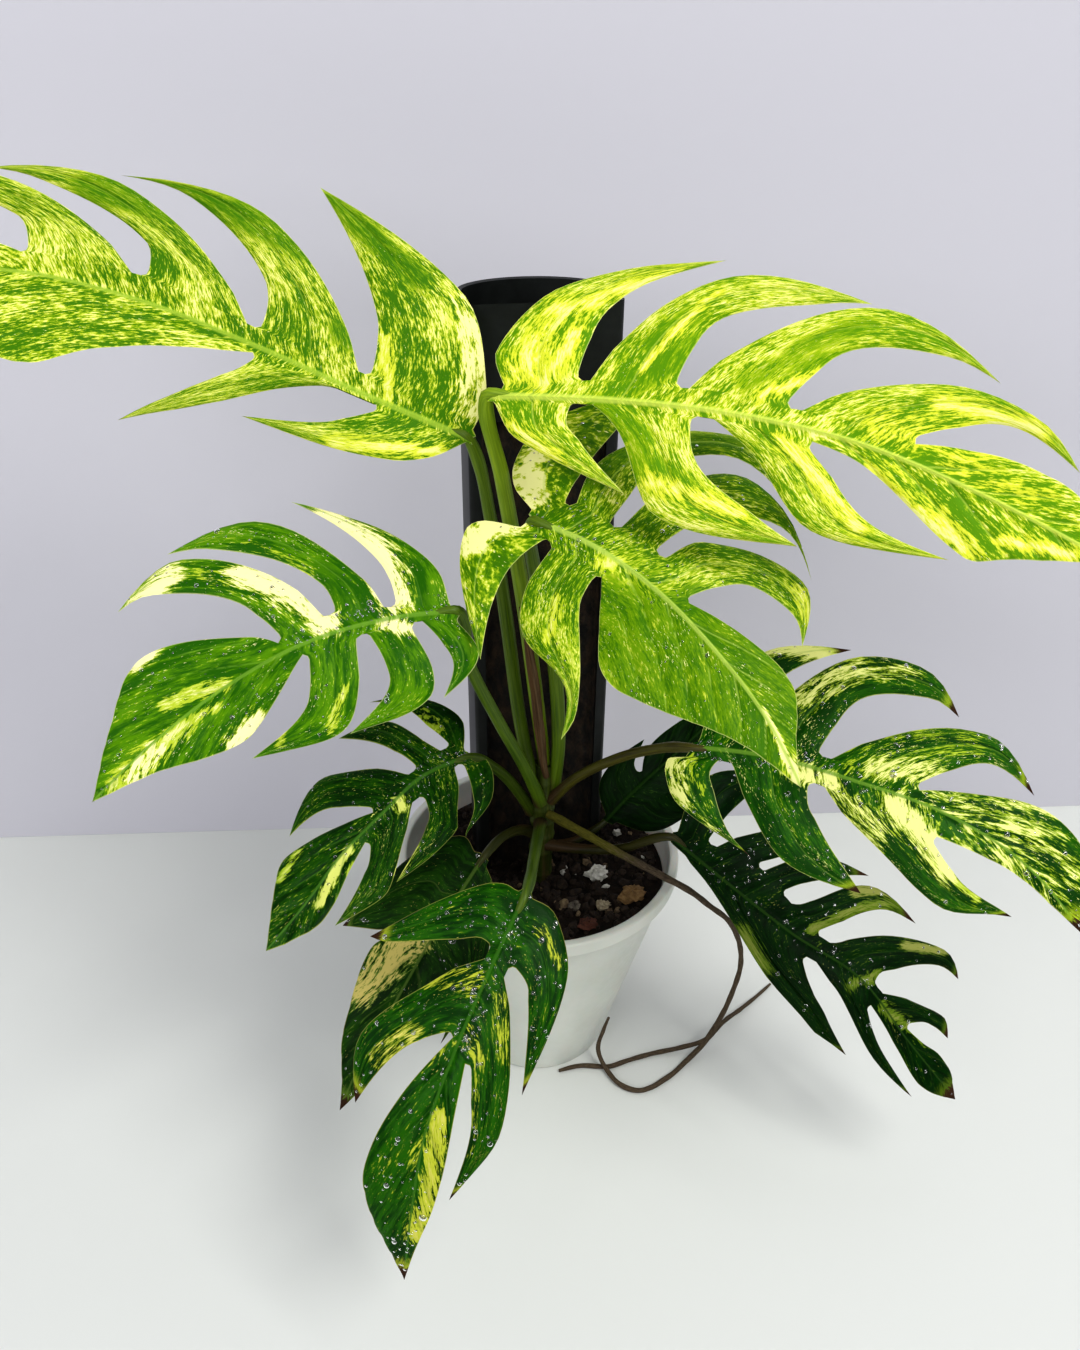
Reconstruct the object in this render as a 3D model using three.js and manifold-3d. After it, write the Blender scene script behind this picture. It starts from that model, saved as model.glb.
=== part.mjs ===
// A young climbing aroid with ten variegated split leaves, in a white nursery pot with a black grow pole.
// Lengths are millimetres. Z is up, Y points away from the viewer, and the origin is the middle of the
// pot's underside. Leaf outlines are flat: x runs along the midrib from the stalk, y out from it to either side.
import * as THREE from "three";
import { mergeVertices } from "three/addons/utils/BufferGeometryUtils.js";
import Module from "manifold-3d";

const wasm = await Module();
wasm.setup();

// Pot
const potHeight = 140;
const potBaseRadius = 42;
const potNeckRadius = 76;
const potRimRadius = 80;
const potMouthRadius = 75;
const potRimDepth = 9;
const potWall = 2;
const potSides = 56;
const drainHoleRadius = 4;
const drainHoleRing = 26;
const drainHoleCount = 4;

// Potting mix
const soilLevel = 125;
const soilFloor = 3.5;
const clearance = 0.3;

// Grow pole: a channel with a rounded back, closed at the front only near its top
const poleWidth = 71;
const poleSideDepth = 28;
const poleDepth = 55;
const poleWall = 2;
const poleLip = 6;
const poleFoot = 82;
const poleTop = 440;
const poleBandHeight = 52;
const poleTurn = THREE.MathUtils.degToRad(11);
const poleFront = [1, 4.5];
const poleBackArcs = 14;
const poleFillTop = 402;

// Climbing stem
const stemCourse = [[0, -9, 84], [1, -9, 125], [2, -10, 165], [3, -10, 206]];
const stemRadii = [6, 6.5, 6.5, 5.5];

// Leaf blades
const bladeThickness = 0.8;
const ribRise = 0.4;
const ribKeel = 1.6;
const ribReach = 6;
const stationStep = 16;
const webRows = 2;
const freeRows = 6;
const footSpacing = 6;
const footMerge = 4;
const footLean = 0.5;
const stalkTuck = 14;

// Each leaf: its midrib in space, the way its face looks at the base and at the tip, the lift of its left and
// right halves from the midrib in degrees, and how many degrees each half curls down in 100 mm. A lobe is the
// gap behind it, points on its back edge, its tip, and points on its front edge. "end" is the stretch from the
// last gap round to the leaf's tip. The stalk runs from the stem to the base of the blade.
const leaves = [
  {
    name: "leaf_a", colour: 0x8fae2a,
    rib: [[-31, -31, 391], [-77, -24, 408], [-123, -16, 426], [-170, -12, 443], [-218, -17, 455], [-265, -35, 456]],
    face: [[0.15, -0.8, 0.6], [0.15, -0.8, 0.6]], lift: [10, 20], curl: [1, 5],
    left: {
      lobes: [
        { gap: [-2, 2], back: [[26, 22]], tip: [90, 31], front: [[58, 18]] },
        { gap: [42, 2], back: [[67, 4], [110, 36]], tip: [138, 53], front: [[105, 17]] },
      ],
      end: [[98, 3], [156, 26], [186, 40], [229, 31]],
    },
    right: {
      lobes: [
        { gap: [-2, 2], back: [[1, 22], [24, 54]], tip: [96, 70], front: [[55, 31]] },
        { gap: [51, 8], back: [[108, 50]], tip: [165, 46], front: [[139, 46], [103, 26]] },
        { gap: [101, 7], back: [[160, 42]], tip: [205, 39], front: [[190, 37], [152, 24]] },
        { gap: [150, 10], back: [[201, 36]], tip: [231, 32], front: [[197, 22]] },
      ],
      end: [[195, 8], [215, 13], [230, 12], [238, 9]],
    },
    stalk: [[-3, -11, 194], [-10, -14, 235], [-17, -17, 300], [-23, -23, 350], [-31, -31, 389]],
    stalkRadii: [3.2, 3.5, 3.4, 3, 2.6],
  },
  {
    name: "leaf_b", colour: 0xb4c92e,
    rib: [[-23, -55, 417], [23, -68, 420], [68, -82, 420], [113, -99, 415], [154, -121, 404], [191, -148, 391]],
    face: [[-0.1, -0.85, 0.5], [-0.1, -0.85, 0.5]], lift: [0, 0], curl: [15, 15],
    left: {
      lobes: [
        { gap: [6, 2], back: [[3, 19], [25, 44]], tip: [84, 58], front: [[45, 36]] },
        { gap: [39, 7], back: [[84, 51]], tip: [133, 51], front: [[121, 48], [85, 34]] },
        { gap: [77, 7], back: [[133, 50]], tip: [178, 39], front: [[160, 41], [130, 31]] },
        { gap: [118, 6], back: [[164, 32], [194, 33]], tip: [214, 22], front: [[185, 26]] },
      ],
      end: [[163, 7], [178, 12], [198, 16], [220, 14]],
    },
    right: {
      lobes: [
        { gap: [1, 2], back: [[15, 17]], tip: [61, 35], front: [[36, 11]] },
        { gap: [38, 2], back: [[54, 10], [75, 42]], tip: [137, 42], front: [[118, 36], [89, 21]] },
        { gap: [85, 3], back: [[104, 10], [139, 35]], tip: [193, 25], front: [[157, 24]] },
      ],
      end: [[129, 4], [150, 7], [197, 22], [212, 15]],
    },
    stalk: [[3, -10, 204], [-1, -18, 245], [-9, -30, 320], [-17, -42, 378], [-22, -53, 414]],
    stalkRadii: [3.2, 3.7, 3.7, 3.4, 2.8],
  },
  {
    name: "leaf_c", colour: 0x6f9a22,
    rib: [[-4, -70, 371], [21, -87, 367], [44, -106, 358], [64, -127, 345], [81, -148, 330], [93, -171, 313]],
    face: [[0, -0.6, 0.8], [0.1, -0.55, 0.83]], lift: [0, -10], curl: [15, 40],
    left: {
      lobes: [
        { gap: [-3, 2], back: [[-24, 22], [-25, 53]], tip: [6, 86], front: [[5, 31]] },
        { gap: [10, 13], back: [[11, 48], [40, 88]], tip: [72, 70], front: [[44, 76], [27, 47]] },
        { gap: [31, 12], back: [[49, 69]], tip: [92, 54], front: [[71, 61], [53, 41]] },
        { gap: [52, 13], back: [[60, 31], [91, 51]], tip: [111, 30], front: [[99, 37], [80, 29]] },
      ],
      end: [[74, 6], [96, 13], [119, 17], [140, 6]],
    },
    right: {
      lobes: [
        { gap: [-2, 2], back: [[-27, 14]], tip: [4, 61], front: [[0, 23]] },
        { gap: [12, 6], back: [[18, 43], [62, 52]], tip: [81, 67], front: [[77, 56], [42, 25]] },
      ],
      end: [[41, 9], [66, 35], [85, 37], [146, 5]],
    },
    stalk: [[8, -11, 191], [10, -16, 225], [6, -28, 286], [-3, -46, 337], [-5, -68, 368]],
    stalkRadii: [3.2, 3.6, 3.6, 3.2, 2.6],
  },
  {
    name: "leaf_d", colour: 0x2f6318,
    rib: [[-34, -80, 334], [-67, -82, 330], [-99, -91, 323], [-128, -105, 311], [-153, -123, 297],
      [-175, -143, 281]],
    face: [[0.1, -0.7, 0.7], [0.1, -0.7, 0.7]], lift: [0, 0], curl: [20, 20],
    left: {
      lobes: [
        { gap: [0, 2], back: [[-7, 20]], tip: [9, 36], front: [[4, 20]] },
        { gap: [19, 3], back: [[15, 35]], tip: [62, 42], front: [[35, 27]] },
        { gap: [42, 4], back: [[62, 39]], tip: [111, 30], front: [[77, 24]] },
      ],
      end: [[68, 4], [103, 22], [122, 20], [146, 9]],
    },
    right: {
      lobes: [
        { gap: [1, 2], back: [[12, 25]], tip: [53, 66], front: [[29, 25]] },
        { gap: [28, 5], back: [[35, 18], [65, 62]], tip: [93, 67], front: [[82, 60], [53, 25]] },
        { gap: [52, 8], back: [[90, 61]], tip: [116, 56], front: [[105, 54], [81, 29]] },
      ],
      end: [[75, 5], [83, 13], [120, 31], [146, 16]],
    },
    stalk: [[1, -15, 183], [-7, -27, 214], [-20, -45, 256], [-32, -64, 300], [-34, -78, 331]],
    stalkRadii: [3.4, 3.2, 3, 2.8, 2.4],
  },
  {
    name: "leaf_e", colour: 0x2c5c1a,
    rib: [[-33, -55, 242], [-55, -68, 239], [-72, -86, 231], [-88, -105, 223], [-101, -127, 214],
      [-115, -148, 206]],
    face: [[-0.1, -0.6, 0.8], [-0.1, -0.6, 0.8]], lift: [0, 0], curl: [20, 20],
    left: {
      lobes: [
        { gap: [0, 2], back: [[-8, 4], [0, 25]], tip: [30, 36], front: [[9, 25]] },
        { gap: [7, 2], back: [[12, 14], [30, 30]], tip: [72, 27], front: [[41, 18]] },
        { gap: [34, 7], back: [[45, 11], [80, 27]], tip: [106, 16], front: [[78, 13]] },
      ],
      end: [[67, 4], [80, 7], [107, 11], [119, 7]],
    },
    right: {
      lobes: [
        { gap: [0, 2], back: [[-3, 25]], tip: [23, 52], front: [[15, 38]] },
        { gap: [9, 8], back: [[16, 18], [23, 37]], tip: [36, 47], front: [[28, 24]] },
        { gap: [27, 5], back: [[55, 36]], tip: [82, 28], front: [[65, 22]] },
      ],
      end: [[54, 4], [80, 17], [92, 22], [104, 18]],
    },
    stalk: [[-4, -11, 174], [-13, -22, 199], [-23, -38, 223], [-31, -53, 240]],
    stalkRadii: [3.2, 3, 2.6, 2.2],
  },
  {
    name: "leaf_f", colour: 0x3a6a1c,
    rib: [[-5, -120, 215], [-20, -146, 195], [-34, -171, 173], [-46, -192, 146], [-52, -206, 113], [-56, -215, 78]],
    face: [[-0.1, -0.8, 0.6], [-0.1, -0.8, 0.6]], lift: [0, 0], curl: [20, 20],
    left: {
      lobes: [
        { gap: [-1, 2], back: [[2, 15], [25, 32]], tip: [79, 33], front: [[39, 19]] },
        { gap: [33, 7], back: [[95, 30]], tip: [136, 15], front: [[102, 18]] },
      ],
      end: [[76, 6], [113, 11], [140, 9], [166, 3]],
    },
    right: {
      lobes: [
        { gap: [-1, 2], back: [[0, 12], [14, 29]], tip: [45, 55], front: [[44, 47], [28, 11]] },
        { gap: [30, 4], back: [[51, 21], [82, 41]], tip: [107, 33], front: [[79, 20]] },
      ],
      end: [[68, 3], [98, 15], [130, 23], [150, 18]],
    },
    stalk: [[1, -16, 169], [0, -42, 184], [-2, -80, 200], [-4, -117, 213]],
    stalkRadii: [3.2, 3, 2.8, 2.4],
  },
  {
    name: "leaf_g", colour: 0x28541a,
    rib: [[-27, -60, 184], [-42, -78, 168], [-56, -96, 152], [-69, -114, 136], [-83, -130, 117], [-94, -144, 96]],
    face: [[-0.1, -0.75, 0.65], [-0.1, -0.75, 0.65]], lift: [0, 0], curl: [20, 20],
    left: {
      lobes: [
        { gap: [1, 3], back: [[11, 13], [48, 30]], tip: [88, 29], front: [[71, 25]] },
      ],
      end: [[62, 18], [72, 14], [93, 13], [119, 8]],
    },
    right: {
      lobes: [
        { gap: [0, 3], back: [[-3, 15], [17, 31]], tip: [64, 43], front: [[58, 27]] },
      ],
      end: [[53, 12], [66, 24], [105, 16], [127, 5]],
    },
    stalk: [[-4, -12, 160], [-10, -24, 171], [-19, -44, 182], [-26, -59, 184]],
    stalkRadii: [3, 2.8, 2.4, 2.2],
  },
  {
    name: "leaf_h", colour: 0x3c7020,
    rib: [[64, -94, 276], [98, -105, 279], [131, -119, 277], [163, -134, 273], [192, -150, 261], [214, -168, 240]],
    face: [[0, -0.7, 0.7], [0, -0.7, 0.7]], lift: [0, 0], curl: [20, 20],
    left: {
      lobes: [
        { gap: [2, 2], back: [[24, 46]], tip: [54, 58], front: [[33, 36]] },
        { gap: [27, 7], back: [[54, 53], [84, 59]], tip: [100, 42], front: [[89, 46], [63, 36]] },
        { gap: [56, 6], back: [[110, 40]], tip: [133, 27], front: [[114, 28]] },
      ],
      end: [[96, 5], [116, 14], [140, 24], [164, 19]],
    },
    right: {
      lobes: [
        { gap: [1, 2], back: [[-9, 6], [-2, 25]], tip: [36, 43], front: [[21, 33], [12, 12]] },
        { gap: [17, 5], back: [[49, 39]], tip: [87, 43], front: [[59, 18]] },
        { gap: [56, 6], back: [[121, 34]], tip: [156, 18], front: [[128, 21]] },
      ],
      end: [[109, 10], [125, 8], [146, 5], [162, 3]],
    },
    stalk: [[7, -14, 184], [20, -26, 208], [40, -52, 240], [56, -78, 264], [63, -92, 274]],
    stalkRadii: [3, 2.8, 2.6, 2.4, 2.2],
  },
  {
    name: "leaf_i", colour: 0x1d4216,
    rib: [[69, -39, 180], [101, -52, 158], [133, -66, 138], [167, -81, 122], [192, -98, 95], [218, -112, 67]],
    face: [[0.1, -0.65, 0.75], [0.1, -0.65, 0.75]], lift: [0, 0], curl: [20, 20],
    left: {
      lobes: [
        { gap: [0, 3], back: [[-1, 42]], tip: [29, 68], front: [[19, 31]] },
        { gap: [20, 11], back: [[42, 39]], tip: [61, 59], front: [[59, 41]] },
        { gap: [48, 18], back: [[77, 46]], tip: [104, 51], front: [[76, 30]] },
        { gap: [67, 14], back: [[77, 17], [106, 46]], tip: [127, 46], front: [[114, 38]] },
        { gap: [94, 7], back: [[105, 11], [142, 49]], tip: [162, 46], front: [[145, 40], [130, 12]] },
        { gap: [132, 4], back: [[169, 25]], tip: [179, 19], front: [[165, 15]] },
      ],
      end: [[158, 4], [170, 6], [180, 9], [192, 8]],
    },
    right: {
      lobes: [
        { gap: [2, 2], back: [[35, 8], [113, 36]], tip: [148, 31], front: [[107, 22]] },
        { gap: [93, 6], back: [[152, 20]], tip: [185, 17], front: [[152, 13]] },
      ],
      end: [[136, 5], [155, 6], [178, 10], [190, 8]],
    },
    stalk: [[5, -13, 152], [22, -20, 155], [44, -28, 162], [66, -38, 177]],
    stalkRadii: [3, 2.8, 2.6, 2.2],
  },
  {
    name: "leaf_j", colour: 0x1b3d16,
    rib: [[37, -10, 166], [49, -7, 181], [63, -4, 196], [77, 0, 209], [91, 5, 222], [106, 11, 233]],
    face: [[0, -0.8, 0.6], [0, -0.8, 0.6]], lift: [0, 0], curl: [20, 20],
    left: {
      lobes: [
        { gap: [0, 2], back: [[17, 18]], tip: [47, 17], front: [[36, 10]] },
      ],
      end: [[35, 5], [46, 12], [65, 12], [86, 6]],
    },
    right: {
      lobes: [
        { gap: [1, 4], back: [[14, 24]], tip: [37, 30], front: [[39, 20]] },
      ],
      end: [[42, 14], [53, 17], [67, 16], [86, 11]],
    },
    stalk: [[7, -9, 148], [20, -10, 152], [31, -10, 160], [36, -10, 165]],
    stalkRadii: [2.4, 2.2, 2, 1.8],
  },
];

// Aerial root: out of the stem, over the rim, down to the table and back to the foot of the pot, with a branch
const rootCourse = [[5, -16, 176], [24, -26, 171], [41, -33, 165], [62, -38, 155], [78, -40, 146], [92, -37, 132],
  [110, -30, 108], [120, -22, 70], [115, -22, 34], [104, -28, 10], [92, -37, 2.8], [79, -49, 1.7], [63, -58, 1.7],
  [50, -54, 1.9], [41.5, -43, 4], [37.5, -38, 14], [40, -38, 30], [42.5, -39, 42]];
const rootRadii = [2.6, 2.4, 2.2, 2, 1.8, 1.6, 1.5, 1.5, 1.5, 1.6, 1.5, 1.5, 1.5, 1.5, 1.4, 1.3, 1.1, 0.8];
const branchCourse = [[154, 26, 1.4], [142, 14, 1.5], [130, 2, 4], [114, -18, 13], [104, -27.5, 10.5], [90, -28, 3.6],
  [72, -31, 1.7], [55, -37, 1.6], [44, -41, 1.6], [27, -41, 1.6], [14, -44.5, 1.6]];
const branchRadii = [0.8, 1.1, 1.3, 1.4, 1.4, 1.4, 1.4, 1.4, 1.4, 1.4, 1];

// Dry brown sheath left beside the stalks
const sheathCourse = [[4, -15, 200], [2, -21, 216], [0, -27, 240], [-4, -34, 280], [-9, -40, 315]];
const sheathRadii = [1.4, 2, 2.4, 2.2, 0.8];

// Loose lumps on the potting mix: name, place, size and colour
const lumps = [
  { name: "perlite_grain", at: [34, -9], size: [13, 11, 9], colour: 0xd9d6cc },
  { name: "bark_chunk_tan", at: [53, -26], size: [16, 13, 8], colour: 0x8d6a33 },
  { name: "bark_chunk_beige", at: [36, -34], size: [9, 8, 6], colour: 0x9c8d70 },
  { name: "bark_chunk_red", at: [27, -49], size: [12, 9, 6], colour: 0x5a2e1c },
  { name: "bark_chunk_grey", at: [20, -35], size: [8, 7, 5], colour: 0x6f665a },
];

const point = (p) => new THREE.Vector3(p[0], p[1], p[2] ?? 0);

function finish(name, geometry, colour, roughness) {
  const material = new THREE.MeshStandardMaterial({ color: colour, roughness, metalness: 0 });
  const mesh = new THREE.Mesh(geometry, material);
  mesh.name = name;
  return mesh;
}

function solid(geometry) {
  const bare = geometry.clone();
  bare.deleteAttribute("normal");
  bare.deleteAttribute("uv");
  const merged = mergeVertices(bare, 1e-4);
  const vertProperties = new Float32Array(merged.attributes.position.array);
  const triVerts = new Uint32Array(merged.index.array);
  return new wasm.Manifold(new wasm.Mesh({ numProp: 3, vertProperties, triVerts }));
}

function shape(body) {
  const mesh = body.getMesh();
  const corners = new Float32Array(mesh.numVert * 3);
  for (let i = 0; i < mesh.numVert; i++) {
    for (let axis = 0; axis < 3; axis++) corners[3 * i + axis] = mesh.vertProperties[mesh.numProp * i + axis];
  }
  const geometry = new THREE.BufferGeometry();
  geometry.setAttribute("position", new THREE.BufferAttribute(corners, 3));
  geometry.setIndex(new THREE.BufferAttribute(new Uint32Array(mesh.triVerts), 1));
  geometry.computeVertexNormals();
  return geometry;
}

// A smooth course through hand-set points, read by distance measured along the straight joins between them.
function course(list) {
  const points = list.map(point);
  const last = points.length - 1;
  const knots = [0];
  for (let i = 1; i <= last; i++) knots.push(knots[i - 1] + points[i].distanceTo(points[i - 1]));
  const rate = (i, j) => points[j].clone().sub(points[i]).divideScalar(knots[j] - knots[i]);
  const slopes = points.map((_, i) => rate(Math.max(i - 1, 0), Math.min(i + 1, last)));
  slopes[0] = rate(0, 1).multiplyScalar(1.5).addScaledVector(slopes[1], -0.5);
  slopes[last] = rate(last - 1, last).multiplyScalar(1.5).addScaledVector(slopes[last - 1], -0.5);
  const at = (distance) => {
    const s = THREE.MathUtils.clamp(distance, 0, knots[last]);
    let i = 0;
    while (i < last - 1 && knots[i + 1] <= s) i++;
    const span = knots[i + 1] - knots[i];
    const t = (s - knots[i]) / span;
    const place = points[i].clone().multiplyScalar(2 * t ** 3 - 3 * t ** 2 + 1)
      .addScaledVector(slopes[i], span * (t ** 3 - 2 * t ** 2 + t))
      .addScaledVector(points[i + 1], 3 * t ** 2 - 2 * t ** 3)
      .addScaledVector(slopes[i + 1], span * (t ** 3 - t ** 2));
    const heading = points[i + 1].clone().sub(points[i]).multiplyScalar((6 * t - 6 * t ** 2) / span)
      .addScaledVector(slopes[i], 3 * t ** 2 - 4 * t + 1)
      .addScaledVector(slopes[i + 1], 3 * t ** 2 - 2 * t)
      .normalize();
    return { place, heading };
  };
  return { at, length: knots[last] };
}

// A closed round tube along a course, with a radius at each of the course's points.
function tube(list, radii, sides, steps) {
  const path = course(list);
  const knots = list.map((p, i) => list.slice(0, i + 1).reduce(
    (sum, q, k) => (k ? sum + point(q).distanceTo(point(list[k - 1])) : 0), 0));
  const radiusAt = (s) => {
    let i = 0;
    while (i < list.length - 2 && knots[i + 1] < s) i++;
    return THREE.MathUtils.lerp(radii[i], radii[i + 1], (s - knots[i]) / (knots[i + 1] - knots[i]));
  };
  const rings = [];
  let side = new THREE.Vector3();
  for (let i = 0; i <= steps; i++) {
    const s = (path.length * i) / steps;
    const { place, heading } = path.at(s);
    if (i === 0) side.set(0, 0, 1).addScaledVector(heading, -heading.z);
    if (side.lengthSq() < 0.05) side.set(1, 0, 0);
    side.addScaledVector(heading, -side.dot(heading)).normalize();
    const other = heading.clone().cross(side);
    const radius = radiusAt(s);
    rings.push(Array.from({ length: sides }, (_, k) => {
      const angle = (2 * Math.PI * k) / sides;
      return place.clone().addScaledVector(side, radius * Math.cos(angle))
        .addScaledVector(other, radius * Math.sin(angle));
    }));
  }
  const first = path.at(0).place;
  const end = path.at(path.length).place;
  const corners = [];
  const face = (...list) => list.forEach((p) => corners.push(p.x, p.y, p.z));
  for (let k = 0; k < sides; k++) {
    const next = (k + 1) % sides;
    face(first, rings[0][next], rings[0][k]);
    face(end, rings[steps][k], rings[steps][next]);
    for (let i = 0; i < steps; i++) {
      face(rings[i][k], rings[i][next], rings[i + 1][next]);
      face(rings[i][k], rings[i + 1][next], rings[i + 1][k]);
    }
  }
  const geometry = new THREE.BufferGeometry();
  geometry.setAttribute("position", new THREE.BufferAttribute(new Float32Array(corners), 3));
  return geometry;
}

function lathe(profile, sides) {
  const geometry = new THREE.LatheGeometry(profile.map((p) => new THREE.Vector2(p[0], p[1])), sides);
  return geometry.rotateX(Math.PI / 2);
}

function prism(outline, from, to) {
  const geometry = new THREE.ExtrudeGeometry(outline, { depth: to - from, bevelEnabled: false });
  return geometry.translate(0, 0, from);
}

// The pole's section seen from above, grown outward by a margin.
function poleSection(margin) {
  const half = poleWidth / 2 + margin;
  const back = poleDepth - poleSideDepth + margin;
  const section = new THREE.Shape();
  section.moveTo(-half, -margin);
  section.lineTo(half, -margin);
  section.lineTo(half, poleSideDepth);
  for (let i = 1; i <= poleBackArcs; i++) {
    const angle = (Math.PI * i) / poleBackArcs;
    section.lineTo(half * Math.cos(angle), poleSideDepth + back * Math.sin(angle));
  }
  section.closePath();
  return section;
}

function standPole(geometry) {
  return geometry.rotateZ(poleTurn).translate(poleFront[0], poleFront[1], 0);
}

function growPole() {
  const outer = solid(standPole(prism(poleSection(0), poleFoot, poleTop)));
  const inner = solid(standPole(prism(poleSection(-poleWall), poleFoot - 1, poleTop + 1)));
  const slotWidth = poleWidth - 2 * poleLip;
  const slotHeight = poleTop - poleBandHeight - poleFoot + 1;
  const slot = new THREE.BoxGeometry(slotWidth, 3 * poleWall, slotHeight)
    .translate(0, poleWall, poleFoot - 1 + slotHeight / 2);
  return finish("grow_pole", shape(outer.subtract(inner).subtract(solid(standPole(slot)))), 0x101214, 0.35);
}

function poleFill() {
  const body = solid(standPole(prism(poleSection(-poleWall - clearance), poleFoot, poleFillTop)));
  return finish("pole_moss", shape(body), 0x2a1a10, 0.95);
}

function pot() {
  const taper = (z) => potBaseRadius + ((potNeckRadius - potBaseRadius) * z) / (potHeight - potRimDepth);
  const neck = potHeight - potRimDepth;
  const roll = 1.5;
  const shell = solid(lathe([
    [0, 0], [potBaseRadius, 0], [taper(neck), neck], [potRimRadius - roll, neck], [potRimRadius, neck + roll],
    [potRimRadius, potHeight - roll], [potRimRadius - roll, potHeight], [potMouthRadius + roll, potHeight],
    [potMouthRadius, potHeight - roll], [taper(neck) - potWall, neck], [taper(potWall) - potWall, potWall],
    [0, potWall],
  ], potSides));
  const ring = (angle) => new THREE.CylinderGeometry(drainHoleRadius, drainHoleRadius, 3 * potWall, 20)
    .rotateX(Math.PI / 2)
    .translate(drainHoleRing * Math.cos(angle), drainHoleRing * Math.sin(angle), potWall / 2);
  let body = shell;
  for (let i = 0; i < drainHoleCount; i++) {
    body = body.subtract(solid(ring((2 * Math.PI * (i + 0.5)) / drainHoleCount)));
  }
  return finish("pot", shape(body), 0xe4e4e0, 0.35);
}

function stemBody(margin) {
  return solid(tube(stemCourse, stemRadii.map((r) => r + margin), 14, 9));
}

function pottingMix() {
  const taper = (z) => potBaseRadius + ((potNeckRadius - potBaseRadius) * z) / (potHeight - potRimDepth);
  const edge = (z) => taper(z) - potWall - clearance;
  const mound = 1;
  const body = solid(lathe([
    [0, soilFloor], [edge(soilFloor), soilFloor], [edge(soilLevel - mound), soilLevel - mound],
    [edge(soilLevel) - 4, soilLevel], [0, soilLevel],
  ], potSides));
  const socket = solid(standPole(prism(poleSection(clearance), poleFoot - clearance, soilLevel + 1)));
  return finish("potting_mix", shape(body.subtract(socket).subtract(stemBody(clearance))), 0x2a1d14, 0.95);
}

// A broken lump with a flat underside: a rough ball cut off below its middle.
function lump({ name, at, size, colour }, index) {
  const ball = new THREE.IcosahedronGeometry(0.5, 1);
  ball.rotateZ(index * 1.3).scale(size[0], size[1], size[2]).translate(at[0], at[1], soilLevel + size[2] * 0.3);
  const ground = new THREE.BoxGeometry(60, 60, 60).translate(at[0], at[1], soilLevel - 30);
  return finish(name, shape(solid(ball).subtract(solid(ground))), colour, 0.9);
}

// Where a flat leaf point (x, y) lies in space, y being positive on the left, and which way the blade faces.
function bladeSurface(leaf) {
  const rib = course(leaf.rib);
  return (x, y) => {
    const { place, heading } = rib.at(x);
    const beyond = x - THREE.MathUtils.clamp(x, 0, rib.length);
    place.addScaledVector(heading, beyond);
    const facing = point(leaf.face[0]).lerp(point(leaf.face[1]), THREE.MathUtils.clamp(x / rib.length, 0, 1));
    const normal = facing.addScaledVector(heading, -facing.dot(heading)).normalize();
    const across = normal.clone().cross(heading).multiplyScalar(Math.sign(y));
    const half = y < 0 ? 1 : 0;
    const lift = y === 0 ? 0 : THREE.MathUtils.degToRad(leaf.lift[half]);
    const bend = THREE.MathUtils.degToRad(leaf.curl[half]) / 100;
    const lean = lift - bend * Math.abs(y);
    place.addScaledVector(across, (Math.sin(lift) - Math.sin(lean)) / bend)
      .addScaledVector(normal, (Math.cos(lean) - Math.cos(lift)) / bend);
    normal.multiplyScalar(Math.cos(lean)).addScaledVector(across, -Math.sin(lean));
    return { place, normal };
  };
}

// Where each gap of one half is rooted on the midrib.
function feetOf(half) {
  const feet = [0];
  const gaps = [...half.lobes.map((lobe) => lobe.gap), half.end[0]];
  for (const gap of gaps.slice(1)) {
    feet.push(Math.max(feet.at(-1) + footSpacing, gap[0] - footLean * gap[1]));
  }
  return feet;
}

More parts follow.
